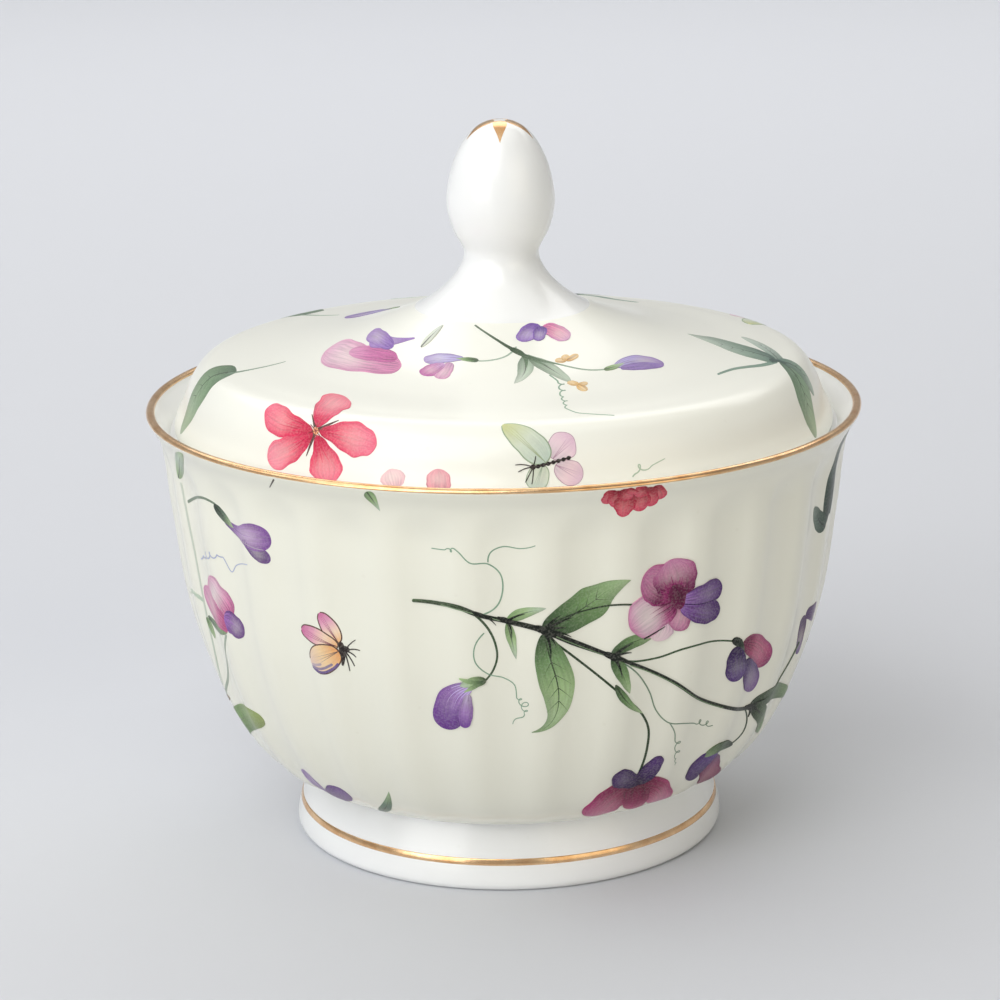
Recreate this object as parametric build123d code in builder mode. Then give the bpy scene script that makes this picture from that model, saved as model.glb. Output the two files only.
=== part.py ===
from build123d import *
import os
from math import pi, sin

# Lidded sugar bowl in fine china. Millimetres, +Z up.
# Origin: the centre of the foot, on the surface that the bowl stands on.

os.makedirs("parts", exist_ok=True)

# ---- Driving dimensions ----

RIM_RADIUS = 55.0          # outside of the flared lip
RIM_HEIGHT = 68.5          # top of the lip
LIP_THICKNESS = 1.3

FOOT_HEIGHT = 10.0         # underside of the bowl
FOOT_TOP_RADIUS = 31.0
FOOT_BASE_RADIUS = 33.65
FOOT_INNER_RADIUS = 28.2
FOOT_EDGE_RADIUS = 1.2     # rounding of the edge that it stands on

FRONT = -90                # degrees: the side that faces -Y

FLUTES = 28
FLUTE_SCOOP_RADIUS = 40.0  # hollow of one flute, measured round the bowl
FLUTE_TOP = 66.0           # where the flutes have faded out under the lip
FLUTE_TOP_FADE = 5.0
FLUTE_BOTTOM_RADIUS = 31.6 # where they have faded out by the foot
FLUTE_BOTTOM_FADE = 3.0
FLUTE_CREST_CUT = 0.03     # how far the crests between flutes lie inside the plain wall
FLUTE_EXIT = 1.1           # how far the fluting stands clear of the wall once it has faded out
FLUTE_SECTIONS = 14

FLOOR_HEIGHT = 13.0        # inside floor of the bowl
LEDGE_HEIGHT = 64.95       # inner ledge that the lid stands on
LEDGE_OUTER_RADIUS = 51.4
LEDGE_INNER_RADIUS = 48.8
LEDGE_DEPTH = 1.4          # straight part of the ledge's inner edge

LID_SEAT_HEIGHT = 65.0     # underside of the lid's edge, just above the ledge
LID_RADIUS = 50.7
LID_EDGE_RADIUS = 0.6
LID_CEILING_HEIGHT = 80.8  # inside of the lid, in the middle
FLANGE_OUTER_RADIUS = 48.2
FLANGE_INNER_RADIUS = 46.2
FLANGE_BOTTOM = 61.0
FLANGE_EDGE_RADIUS = 0.6

FINIAL_BASE_RADIUS = 13.4
FINIAL_BASE_HEIGHT = 82.9  # where the finial's skirt meets the lid's crown
FINIAL_SEAT_DEPTH = 0.6    # the skirt is let into the crown by this much
FINIAL_TIP_HEIGHT = 111.5
FINIAL_BUD_RADIUS = 8.25

GILT = 0.12                # thickness of fired-on gold
LIP_GILT_DEPTH = 0.55      # how far the gold comes down over the lip
FINIAL_MARKS = 5
MARK_INNER = 1.2           # plan radius where a tear-drop starts
MARK_OUTER = 5.8           # plan radius of its point
MARK_HALF_WIDTH = 0.95

# ---- Outlines as (radius, height) ----

LIP_RADIUS = LIP_THICKNESS / 2
LIP_SPRING = RIM_HEIGHT - LIP_RADIUS       # height where the round of the lip starts
LIP_OUTER = (RIM_RADIUS, LIP_SPRING)
LIP_TOP = (RIM_RADIUS - LIP_RADIUS, RIM_HEIGHT)
LIP_INNER = (RIM_RADIUS - LIP_THICKNESS, LIP_SPRING)

FOOT_JOINT = (FOOT_TOP_RADIUS + 0.2, FOOT_HEIGHT)
WALL_OUTLINE = [FOOT_JOINT, (38.0, 13.6), (44.0, 22.0), (49.3, 37.0), (51.7, 53.0), (53.2, 64.5), LIP_OUTER]
WALL_START = (1, 0.32)                     # direction of the wall as it leaves the foot
WALL_END = (0.45, 1)                       # and as it flares into the lip

LIP_LEAN_OUTSIDE = WALL_END[0] / WALL_END[1]
LIP_LEAN_INSIDE = (LIP_INNER[0] - LEDGE_OUTER_RADIUS) / (LIP_SPRING - LEDGE_HEIGHT)

INNER_OUTLINE = [(49.6, 60.0), (48.5, 48.0), (46.2, 36.0), (41.6, 24.0), (35.0, 16.2), (26.0, FLOOR_HEIGHT)]
INNER_START = (-0.06, -1)
INNER_END = (-1, 0)

FOOT_FLARE = (33.1, 4.0)
FOOT_BAND_LOWER = (33.12, 3.9)             # edges of the gold band, on the outside of the foot
FOOT_BAND_UPPER = (32.8, 5.1)
FOOT_END = (-0.36, 1)                      # lean of the foot where it meets the bowl

LID_OUTLINE = [
    (49.3, 69.3),
    (47.9, 72.6),
    (45.8, 75.0),
    (42.0, 75.9),
    (34.0, 76.9),
    (26.0, 78.4),
    (19.0, 80.6),
    (FINIAL_BASE_RADIUS, FINIAL_BASE_HEIGHT),
]
LID_INNER_OUTLINE = [
    (46.0, 66.5),
    (45.3, 69.8),
    (42.6, 72.9),
    (37.0, 74.3),
    (29.0, 75.5),
    (21.0, 77.7),
    (13.0, 80.0),
    (6.0, LID_CEILING_HEIGHT),
]

FINIAL_OUTLINE = [
    (FINIAL_BASE_RADIUS, FINIAL_BASE_HEIGHT),
    (9.3, 85.6),
    (6.6, 88.7),
    (5.7, 91.3),
    (7.4, 95.0),
    (FINIAL_BUD_RADIUS, 98.8),
    (7.8, 102.8),
    (6.8, 106.0),
    (5.2, 108.8),
    (3.6, 110.4),
    (1.9, 111.2),
    (0, FINIAL_TIP_HEIGHT),
]
FINIAL_START = (-1, 0.48)                  # slope of the skirt where it meets the lid's crown
SKIN_START = 0.62                          # where the finial's gold skin is begun, as a fraction of that outline
SKIN_STATIONS = 10


def flute_depth(radius):
    """Depth at which neighbouring flutes just meet in a crest, at this radius."""
    half_width = radius * sin(pi / FLUTES)
    return half_width ** 2 / 2 * (1 / FLUTE_SCOOP_RADIUS + 1 / radius)


def smooth_step(value):
    value = min(max(value, 0.0), 1.0)
    return value * value * (3 - 2 * value)


def scalloped_ring(crest_radius, valley_radius):
    """Closed ring of hollow arcs, one for each flute, with a valley at the front."""
    for flute in range(FLUTES):
        middle = FRONT + 360 * flute / FLUTES
        crests = [Vector(crest_radius, 0).rotate(Axis.Z, middle + side * 180 / FLUTES) for side in (-1, 1)]
        ThreePointArc(crests[0], Vector(valley_radius, 0).rotate(Axis.Z, middle), crests[1])


# ---- Fluted blank: the bowl's outside is where this meets the plain wall ----

wall_line = Spline(*WALL_OUTLINE, tangents=[WALL_START, WALL_END])
ring_sizes = [(FOOT_HEIGHT - 1, FOOT_JOINT[0] + FLUTE_EXIT, FOOT_JOINT[0] + FLUTE_EXIT / 2)]
for section in range(1, FLUTE_SECTIONS):
    point = wall_line @ (section / FLUTE_SECTIONS)
    outward = Vector(0, 0, -1).cross(wall_line % (section / FLUTE_SECTIONS))
    fade = smooth_step((FLUTE_TOP - point.Y) / FLUTE_TOP_FADE)
    fade *= smooth_step((point.X - FLUTE_BOTTOM_RADIUS) / FLUTE_BOTTOM_FADE)
    crest_inset = (FLUTE_CREST_CUT + FLUTE_EXIT) * fade - FLUTE_EXIT
    valley_inset = (flute_depth(point.X) / outward.X + FLUTE_EXIT) * fade - FLUTE_EXIT
    ring_sizes.append((point.Y, point.X - crest_inset, point.X - valley_inset))
ring_sizes.append((RIM_HEIGHT + 1, RIM_RADIUS + 2 * FLUTE_EXIT, RIM_RADIUS + FLUTE_EXIT))

with BuildPart() as fluted_blank:
    for height, crest_radius, valley_radius in ring_sizes:
        with BuildSketch(Plane.XY.offset(height)):
            with BuildLine():
                scalloped_ring(crest_radius, valley_radius)
            make_face()
    loft()

# ---- Profiles, drawn in the plane of radius and height, each inside a BuildLine block ----


def bowl_profile():
    """Half section of the bowl: foot joint, wall, lip, ledge, inner wall and floor."""
    ledge_edge = (LEDGE_INNER_RADIUS, LEDGE_HEIGHT)
    ledge_foot = (LEDGE_INNER_RADIUS, LEDGE_HEIGHT - LEDGE_DEPTH)
    Line((0, FOOT_HEIGHT), FOOT_JOINT)
    Spline(*WALL_OUTLINE, tangents=[WALL_START, WALL_END])
    Spline(LIP_OUTER, LIP_TOP, LIP_INNER, tangents=[(0, 1), (0, -1)])
    Line(LIP_INNER, (LEDGE_OUTER_RADIUS, LEDGE_HEIGHT))
    Line((LEDGE_OUTER_RADIUS, LEDGE_HEIGHT), ledge_edge)
    Line(ledge_edge, ledge_foot)
    Line(ledge_foot, INNER_OUTLINE[0])
    Spline(*INNER_OUTLINE, tangents=[INNER_START, INNER_END])
    Line(INNER_OUTLINE[-1], (0, FLOOR_HEIGHT))
    Line((0, FLOOR_HEIGHT), (0, FOOT_HEIGHT))


def foot_profile():
    """Section of the foot ring: it leans in towards the bowl and stands on a rounded edge."""
    inner_edge = (FOOT_INNER_RADIUS + 1.4, FOOT_EDGE_RADIUS)
    Line((FOOT_INNER_RADIUS, FOOT_HEIGHT), inner_edge)
    inner_arc = JernArc(inner_edge, (0, -1), FOOT_EDGE_RADIUS, 90)
    outer_arc = JernArc((FOOT_BASE_RADIUS - FOOT_EDGE_RADIUS, 0), (1, 0), FOOT_EDGE_RADIUS, 90)
    Line(inner_arc @ 1, outer_arc @ 0)
    Spline(outer_arc @ 1, FOOT_FLARE, (FOOT_TOP_RADIUS, FOOT_HEIGHT), tangents=[(0, 1), FOOT_END])
    Line((FOOT_TOP_RADIUS, FOOT_HEIGHT), (FOOT_INNER_RADIUS, FOOT_HEIGHT))


def finial_profile():
    """Half section of the finial: flared skirt, neck and pointed bud, flat underneath."""
    seat_edge = (FINIAL_BASE_RADIUS, FINIAL_BASE_HEIGHT - FINIAL_SEAT_DEPTH)
    Line((0, seat_edge[1]), seat_edge)
    Line(seat_edge, FINIAL_OUTLINE[0])
    Spline(*FINIAL_OUTLINE, tangents=[FINIAL_START, (-1, 0)])
    Line(FINIAL_OUTLINE[-1], (0, seat_edge[1]))


# ---- Bowl body: thin wall, lip, inner ledge and floor, with its flutes scooped out ----

with BuildPart() as bowl_body:
    with BuildSketch(Plane.XZ):
        with BuildLine():
            bowl_profile()
        make_face()
    revolve(axis=Axis.Z)
    add(fluted_blank.part, mode=Mode.INTERSECT)

# ---- Foot ring ----

with BuildPart() as foot_ring:
    with BuildSketch(Plane.XZ):
        with BuildLine():
            foot_profile()
        make_face()
    revolve(axis=Axis.Z)

# ---- Gold on the lip: a skin over its round edge ----

with BuildPart() as rim_gilding:
    with BuildSketch(Plane.XZ):
        with BuildLine():
            skin_points = [
                (RIM_RADIUS + GILT, LIP_SPRING),
                (LIP_TOP[0], RIM_HEIGHT + GILT),
                (LIP_INNER[0] - GILT, LIP_SPRING),
            ]
            lip_skin = Spline(*skin_points, tangents=[(0, 1), (0, -1)])
            skin_edges = Line(
                lip_skin @ 1 - Vector(LIP_GILT_DEPTH * LIP_LEAN_INSIDE, LIP_GILT_DEPTH),
                lip_skin @ 0 - Vector(LIP_GILT_DEPTH * LIP_LEAN_OUTSIDE, LIP_GILT_DEPTH),
            )
            Line(lip_skin @ 1, skin_edges @ 0)
            Line(skin_edges @ 1, lip_skin @ 0)
        make_face()
        with BuildLine():
            bowl_profile()
        make_face(mode=Mode.SUBTRACT)
    revolve(axis=Axis.Z)

# ---- Gold band round the foot ----

with BuildPart() as foot_gilding:
    with BuildSketch(Plane.XZ):
        with BuildLine():
            Polyline(
                (FOOT_BAND_LOWER[0] + GILT, FOOT_BAND_LOWER[1]),
                (FOOT_BAND_UPPER[0] + GILT, FOOT_BAND_UPPER[1]),
                (FOOT_TOP_RADIUS, FOOT_BAND_UPPER[1]),
                (FOOT_TOP_RADIUS, FOOT_BAND_LOWER[1]),
                close=True,
            )
        make_face()
        with BuildLine():
            foot_profile()
        make_face(mode=Mode.SUBTRACT)
    revolve(axis=Axis.Z)

# ---- Lid shell: flat seat, sloping shoulder and low crown, let in for the finial ----

with BuildPart() as lid_shell:
    seat_step = FINIAL_BASE_HEIGHT - FINIAL_SEAT_DEPTH
    with BuildSketch(Plane.XZ):
        with BuildLine():
            Line((FLANGE_INNER_RADIUS, LID_SEAT_HEIGHT), (LID_RADIUS - LID_EDGE_RADIUS, LID_SEAT_HEIGHT))
            lid_edge = JernArc((LID_RADIUS - LID_EDGE_RADIUS, LID_SEAT_HEIGHT), (1, 0), LID_EDGE_RADIUS, 90)
            Spline(lid_edge @ 1, *LID_OUTLINE, tangents=[(0, 1), FINIAL_START])
            Line(LID_OUTLINE[-1], (FINIAL_BASE_RADIUS, seat_step))
            Line((FINIAL_BASE_RADIUS, seat_step), (0, seat_step))
            Line((0, seat_step), (0, LID_CEILING_HEIGHT))
            Line((0, LID_CEILING_HEIGHT), LID_INNER_OUTLINE[-1])
            Spline(*LID_INNER_OUTLINE)
            Line(LID_INNER_OUTLINE[0], (FLANGE_INNER_RADIUS, LID_SEAT_HEIGHT))
        make_face()
    revolve(axis=Axis.Z)

# ---- Lid flange: the ring that drops into the bowl's mouth and centres the lid ----

with BuildPart() as lid_flange:
    with BuildSketch(Plane.XY.offset(FLANGE_BOTTOM)):
        Circle(FLANGE_OUTER_RADIUS)
        Circle(FLANGE_INNER_RADIUS, mode=Mode.SUBTRACT)
    extrude(amount=LID_SEAT_HEIGHT - FLANGE_BOTTOM)
    fillet(lid_flange.faces().sort_by(Axis.Z)[0].edges(), radius=FLANGE_EDGE_RADIUS)

# ---- Finial ----

with BuildPart() as finial:
    with BuildSketch(Plane.XZ):
        with BuildLine():
            finial_profile()
        make_face()
    revolve(axis=Axis.Z)

# ---- Gold tear-drops round the finial's tip: a skin cut to shape from above ----

finial_line = Spline(*FINIAL_OUTLINE, tangents=[FINIAL_START, (-1, 0)])
skin_outline = []
for station in range(SKIN_STATIONS + 1):
    fraction = SKIN_START + (1 - SKIN_START) * station / SKIN_STATIONS
    outward = Vector(0, 0, -1).cross(finial_line % fraction)
    skin_outline.append(finial_line @ fraction + outward * GILT)

with BuildSketch(Plane.XY.offset(FINIAL_TIP_HEIGHT - FINIAL_BUD_RADIUS)) as gold_mark:
    with BuildLine():
        shoulder = MARK_INNER + MARK_HALF_WIDTH
        round_end = ThreePointArc((shoulder, -MARK_HALF_WIDTH), (MARK_INNER, 0), (shoulder, MARK_HALF_WIDTH))
        Line(round_end @ 1, (MARK_OUTER, 0))
        Line((MARK_OUTER, 0), round_end @ 0)
    make_face()

with BuildPart() as gold_columns:
    extrude(gold_mark.sketch, amount=2 * FINIAL_BUD_RADIUS)

with BuildPart() as finial_gilding:
    with BuildSketch(Plane.XZ):
        with BuildLine():
            skin_line = Spline(*skin_outline, tangents=[finial_line % SKIN_START, (-1, 0)])
            Line(skin_line @ 1, (0, (skin_line @ 0).Y))
            Line((0, (skin_line @ 0).Y), skin_line @ 0)
        make_face()
        with BuildLine():
            finial_profile()
        make_face(mode=Mode.SUBTRACT)
    revolve(axis=Axis.Z)
    with BuildPart(mode=Mode.INTERSECT):
        with PolarLocations(0, FINIAL_MARKS, start_angle=FRONT):
            add(gold_columns.part)

# ---- Write each finished piece ----

PIECES = {
    "bowl_body": bowl_body,
    "foot_ring": foot_ring,
    "rim_gilding": rim_gilding,
    "foot_gilding": foot_gilding,
    "lid_shell": lid_shell,
    "lid_flange": lid_flange,
    "finial": finial,
    "finial_gilding": finial_gilding,
}
for name, piece in PIECES.items():
    piece.part.label = name
    export_step(piece.part, f"parts/{name}.step")
    print(name, "volume mm3", round(piece.part.volume, 1), "solids", len(piece.part.solids()))
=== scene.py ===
import math
import random

import bpy
import numpy as np
from mathutils import Matrix, Vector


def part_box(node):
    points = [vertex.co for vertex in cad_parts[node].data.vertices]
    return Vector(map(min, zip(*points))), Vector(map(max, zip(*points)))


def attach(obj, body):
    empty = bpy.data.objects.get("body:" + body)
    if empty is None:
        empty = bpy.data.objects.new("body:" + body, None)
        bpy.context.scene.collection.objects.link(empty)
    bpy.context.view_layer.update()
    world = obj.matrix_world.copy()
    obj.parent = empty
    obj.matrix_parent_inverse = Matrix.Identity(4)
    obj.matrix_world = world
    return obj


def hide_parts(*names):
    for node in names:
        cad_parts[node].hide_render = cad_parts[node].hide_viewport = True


# Lidded china sugar bowl: fluted ivory bowl and domed lid with printed sweet peas, white foot and
# finial, gold lines. Lengths are millimetres, which MM turns into Blender's metres. Textures, floor,
# lights and camera are in metres.

MM = 0.001
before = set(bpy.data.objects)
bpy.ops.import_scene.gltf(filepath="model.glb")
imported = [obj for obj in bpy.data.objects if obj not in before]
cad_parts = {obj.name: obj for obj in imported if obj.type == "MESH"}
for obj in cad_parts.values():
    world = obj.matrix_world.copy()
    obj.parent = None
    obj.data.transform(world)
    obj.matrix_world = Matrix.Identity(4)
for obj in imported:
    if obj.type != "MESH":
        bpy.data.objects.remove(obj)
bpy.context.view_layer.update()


# ---- Sizes ----
# They are the CAD part's, except that the gold is a little thinner and narrower, and that the flutes
# fade out closer to the lip.

RIM_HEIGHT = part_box("bowl_body")[1].z / MM
RIM_RADIUS = 55.0
LIP_THICKNESS = 1.3
LIP_ROUND = LIP_THICKNESS / 2
LIP_SPRING = RIM_HEIGHT - LIP_ROUND
LIP_CENTRE = (RIM_RADIUS - LIP_ROUND, LIP_SPRING)
GILDED_LIP = (6, 172)      # the gilded part of the lip's round, in degrees from its outside
LEDGE_HEIGHT = 64.95
LEDGE_OUTER_RADIUS = 51.4
LEDGE_INNER_RADIUS = 48.8
LEDGE_DEPTH = 1.4
INNER_WALL_TOP = 60.0
FLOOR_HEIGHT = 13.0
FOOT_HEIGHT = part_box("foot_ring")[1].z / MM
FOOT_RADIUS = 33.65
FOOT_INNER_RADIUS = 29.6
FOOT_TOP_INNER_RADIUS = 28.2
FOOT_EDGE_ROUND = 1.2
BAND_BOTTOM, BAND_TOP = 4.0, 5.05
LID_SEAT_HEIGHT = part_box("lid_shell")[0].z / MM
LID_RADIUS = 50.7
LID_EDGE_ROUND = 0.6
LID_HOLLOW_TOP = 80.8
FLANGE_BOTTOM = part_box("lid_flange")[0].z / MM
FLANGE_INNER_RADIUS = 46.2
FLANGE_OUTER_RADIUS = 48.2
FLANGE_ROUND = 0.6
FINIAL_FOOT_RADIUS = 13.4
FINIAL_FOOT_HEIGHT = 82.9
FINIAL_SEAT_HEIGHT = 82.3
FINIAL_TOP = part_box("finial")[1].z / MM
GILT = 0.08                # thickness of the gold
SINK = 0.02                # how far gold and print reach into the glaze

FRONT = -math.pi / 2
FLUTES = 28
FLUTE_HOLLOW = 40.0        # radius of a flute's hollow
FLUTE_TOP = 67.4
FLUTE_TOP_FADE = 8.0
FLUTE_BOTTOM_RADIUS = 31.6
FLUTE_BOTTOM_FADE = 3.0
FLUTE_EXIT = 0.35
FLUTE_SOFTNESS = 0.08      # rounding of the line where a flute runs out into the wall
CREST_SOFTNESS = 0.42      # share of a flute's half width over which its crest is rounded

# Outlines as (radius, height)
WALL = [
    (31.2, FOOT_HEIGHT), (38.0, 13.6), (44.0, 22.0), (49.3, 37.0), (51.7, 53.0), (53.2, 64.5),
    (RIM_RADIUS, LIP_SPRING),
]
INNER_WALL = [
    (49.6, INNER_WALL_TOP), (48.5, 48.0), (46.2, 36.0), (41.6, 24.0), (35.0, 16.2), (26.0, FLOOR_HEIGHT),
]
LID_TOP = [
    (LID_RADIUS, LID_SEAT_HEIGHT + LID_EDGE_ROUND), (49.3, 69.3), (47.9, 72.6), (45.8, 75.0), (42.0, 75.9),
    (34.0, 76.9), (26.0, 78.4), (19.0, 80.6), (FINIAL_FOOT_RADIUS, FINIAL_FOOT_HEIGHT),
]
LID_UNDER = [
    (46.0, 66.5), (45.3, 69.8), (42.6, 72.9), (37.0, 74.3), (29.0, 75.5), (21.0, 77.7), (13.0, 80.0),
    (6.0, LID_HOLLOW_TOP),
]
FINIAL = [
    (FINIAL_FOOT_RADIUS, FINIAL_FOOT_HEIGHT), (9.3, 85.6), (6.6, 88.7), (5.7, 91.3), (7.4, 95.0),
    (8.25, 98.8),
    (7.8, 102.8), (6.8, 106.0), (5.2, 108.8), (3.6, 110.4), (1.9, 111.2), (0.0, FINIAL_TOP),
]
FOOT = [(FOOT_RADIUS, FOOT_EDGE_ROUND), (33.1, 4.0), (31.0, FOOT_HEIGHT)]

# Lines inside which the glaze is white: the wall above the bowl's inner wall, and the lid's hollow
WHITE_LIP = [(50, INNER_WALL_TOP), (51.5, LEDGE_HEIGHT), (53.8, LIP_SPRING), (54.35, RIM_HEIGHT)]
WHITE_HOLLOW = [(46.4, 65), (46.3, 66.5), (45.6, 70), (43, 73), (33, 75), (20, 78), (6, 81.5)]


# ---- Outlines and surfaces ----


def smooth_line(points, start=None, end=None, steps=16):
    """Closely spaced points of a smooth curve through the given ones; start and end are its directions."""
    given = np.array(points, float)
    chord = np.linalg.norm(np.diff(given, axis=0), axis=1)
    knots = np.concatenate([[0], np.cumsum(np.sqrt(chord))])
    slopes = np.gradient(given, knots, axis=0, edge_order=2 if len(given) > 2 else 1)
    for index, direction in ((0, start), (-1, end)):
        if direction is not None:
            unit = np.array(direction, float) / np.linalg.norm(direction)
            slopes[index] = unit * chord[index] / (knots[1] - knots[0] if index == 0
                    else knots[-1] - knots[-2])
    line = []
    for i in range(len(given) - 1):
        width = knots[i + 1] - knots[i]
        t = np.linspace(0, 1, steps, endpoint=False)[:, None]
        line.append(
            (2 * t**3 - 3 * t**2 + 1) * given[i] + (t**3 - 2 * t**2 + t) * width * slopes[i]
            + (3 * t**2 - 2 * t**3) * given[i + 1] + (t**3 - t**2) * width * slopes[i + 1]
        )
    return np.concatenate(line + [given[-1:]])


def arc(centre, radius, start, end, steps=8):
    """Points along a circular arc in the outline plane, angles in degrees."""
    angles = np.radians(np.linspace(start, end, steps + 1))
    return np.array(centre) + radius * np.column_stack([np.cos(angles), np.sin(angles)])


def join(*pieces):
    """One outline from several, without repeated points."""
    joined = [np.array(pieces[0], float)]
    for piece in pieces[1:]:
        piece = np.array(piece, float)
        near = np.linalg.norm(piece[0] - joined[-1][-1]) < 1e-6
        joined.append(piece[1:] if near else piece)
    return np.concatenate(joined)


def lengths(line):
    """How far along a line each of its points is."""
    return np.concatenate([[0], np.cumsum(np.linalg.norm(np.diff(line, axis=0), axis=1))])


def point_at(line, along, at):
    """The places on a line at the given distances, where along says how far its own points are."""
    return np.column_stack([np.interp(at, along, line[:, k]) for k in (0, 1)])


def evenly(line, spacing):
    """The same outline with evenly spaced points."""
    along = lengths(line)
    count = max(2, int(round(along[-1] / spacing)) + 1)
    return point_at(line, along, np.linspace(0, along[-1], count))


def directions(line, along):
    """The unit direction of a line at each of its points."""
    slopes = np.gradient(line, along, axis=0)
    return slopes / np.linalg.norm(slopes, axis=1)[:, None]


def radius_at(line, height):
    """The radius of an upward line of (radius, height) points at a height."""
    radii, heights = zip(*line)
    return np.interp(height, heights, radii)


def smooth_step(value):
    """0 to 1, starting and ending gently."""
    value = np.clip(value, 0, 1)
    return value * value * (3 - 2 * value)


def flute_inset(angle, radius, height):
    """How far the fluting takes the bowl's outside in from the plain wall, measured along the radius."""
    pitch = 2 * math.pi / FLUTES
    off_centre = np.abs((angle - FRONT + pitch / 2) % pitch - pitch / 2) / (pitch / 2)
    turn = 1 - CREST_SOFTNESS
    hollow = np.where(
        off_centre < turn, 1 - off_centre**2, 1 - turn + turn / CREST_SOFTNESS * (1 - off_centre) ** 2
    )
    hollow = (hollow - (1 - turn)) / turn
    half_width = radius * math.sin(math.pi / FLUTES)
    depth = half_width**2 / 2 * (1 / FLUTE_HOLLOW + 1 / radius)
    fade = smooth_step((FLUTE_TOP - height) / FLUTE_TOP_FADE)
    fade = fade * smooth_step((radius - FLUTE_BOTTOM_RADIUS) / FLUTE_BOTTOM_FADE)
    inset = (hollow * depth + FLUTE_EXIT) * fade - FLUTE_EXIT
    return (inset + np.sqrt(inset**2 + FLUTE_SOFTNESS**2)) / 2


class Surface:
    """A round surface that printing lies on, by turn from the front and distance along its outline."""

    def __init__(self, line, body, fluted=False):
        self.line = line
        self.body = body
        self.fluted = fluted
        self.along = lengths(line)
        self.slopes = directions(line, self.along)

    def radius(self, along):
        return np.interp(along, self.along, self.line[:, 0])

    def point(self, turn, along, lift=0.0):
        radius, height = (np.interp(along, self.along, self.line[:, k]) for k in (0, 1))
        out, up = np.interp(along, self.along, self.slopes[:, 1]), -np.interp(along, self.along,
                self.slopes[:, 0])
        angle = turn + FRONT
        reach = radius - (flute_inset(angle, radius, height) if self.fluted else 0) + lift * out
        return np.stack([reach * np.cos(angle), reach * np.sin(angle), height + lift * up], axis=-1)


wall_line = smooth_line(WALL, start=(1, 0.32), end=(0.45, 1))
inner_line = smooth_line(INNER_WALL, start=(-0.06, -1), end=(-1, 0))
foot_line = smooth_line(FOOT, start=(0, 1), end=(-0.36, 1))
lid_line = smooth_line(LID_TOP, start=(0, 1), end=(-1, 0.48))
finial_line = smooth_line(FINIAL, start=(-1, 0.48), end=(-1, 0))
BOWL = Surface(wall_line, "bowl", fluted=True)
LID = Surface(lid_line, "lid")
BUD = Surface(finial_line, "lid")


# ---- Meshes ----

COLUMNS = FLUTES * 16      # steps round the bowl, a whole number for each flute


def make_piece(name, points, faces, body, slot, node=None, sharp=35.0):
    """A smooth-shaded mesh from points in millimetres, riding on a CAD body."""
    mesh = bpy.data.meshes.new(name)
    mesh.from_pydata((np.asarray(points, float) * MM).tolist(), [], faces)
    mesh.validate()
    mesh.shade_smooth()
    mesh.set_sharp_from_angle(angle=math.radians(sharp))
    piece = bpy.data.objects.new(name, mesh)
    bpy.context.scene.collection.objects.link(piece)
    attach(piece, body)
    if node:
        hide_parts(node)
    return piece


def ring_faces(first, second, count):
    """Quads between two rings of points, given where each ring starts."""
    return [
        (first + k, first + (k + 1) % count, second + (k + 1) % count, second + k)
        for k in range(count)
    ]


def turned(outline, columns=256, fluted_rows=0):
    """A closed round solid from an outline of (radius, height), read so that its outside is on the right.
    Its ends are either both on the axis or the same point. The first fluted_rows rows follow the flutes."""
    angles = FRONT + np.linspace(0, 2 * math.pi, columns, endpoint=False)
    closed = np.linalg.norm(outline[0] - outline[-1]) < 1e-6
    rows = outline[:-1] if closed else outline
    points, starts, faces = [], [], []
    for index, (radius, height) in enumerate(rows):
        starts.append(len(points))
        if radius < 1e-6:
            points.append((0, 0, height))
            continue
        reach = radius - flute_inset(angles, radius, height) if index < fluted_rows else np.full(columns,
                radius)
        points += np.column_stack([reach * np.cos(angles), reach * np.sin(angles),
                                   np.full(columns, height)]).tolist()
    pairs = list(zip(range(len(rows) - 1), range(1, len(rows))))
    if closed:
        pairs.append((len(rows) - 1, 0))
    for low, high in pairs:
        one, other = starts[low], starts[high]
        if rows[low][0] < 1e-6:
            faces += [(one, other + (k + 1) % columns, other + k) for k in range(columns)]
        elif rows[high][0] < 1e-6:
            faces += [(one + k, one + (k + 1) % columns, other) for k in range(columns)]
        else:
            faces += ring_faces(one, other, columns)
    return points, faces


def build_bowl():
    outside = evenly(wall_line, spacing=0.55)
    lip = arc(LIP_CENTRE, LIP_ROUND, 0, 180)
    ledge = evenly(np.array([lip[-1], (LEDGE_OUTER_RADIUS, LEDGE_HEIGHT)]), spacing=0.7)
    step = [
        (LEDGE_OUTER_RADIUS, LEDGE_HEIGHT),
        (LEDGE_INNER_RADIUS, LEDGE_HEIGHT),
        (LEDGE_INNER_RADIUS, LEDGE_HEIGHT - LEDGE_DEPTH),
        INNER_WALL[0],
    ]
    inside = evenly(inner_line, spacing=1.6)
    floor = [INNER_WALL[-1], (14, FLOOR_HEIGHT), (0, FLOOR_HEIGHT)]
    under = np.array([(0, FOOT_HEIGHT), (16, FOOT_HEIGHT), (30.4, FOOT_HEIGHT)])
    outline = join(under, outside, lip, ledge, step, inside, floor)
    points, faces = turned(outline, COLUMNS, fluted_rows=len(under) + len(outside))
    return make_piece("bowl_china", points, faces, "bowl", "ivory_glaze", "bowl_body")


def build_foot():
    inner_edge = arc((FOOT_INNER_RADIUS + FOOT_EDGE_ROUND, FOOT_EDGE_ROUND), FOOT_EDGE_ROUND, 180, 270)
    outer_edge = arc((FOOT_RADIUS - FOOT_EDGE_ROUND, FOOT_EDGE_ROUND), FOOT_EDGE_ROUND, 270, 360)
    inner_top = [(FOOT_TOP_INNER_RADIUS, FOOT_HEIGHT)]
    outline = join(inner_top, inner_edge, outer_edge, evenly(foot_line, spacing=0.5), inner_top)
    return make_piece("foot_china", *turned(outline), "bowl", "white_glaze", "foot_ring")


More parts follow.
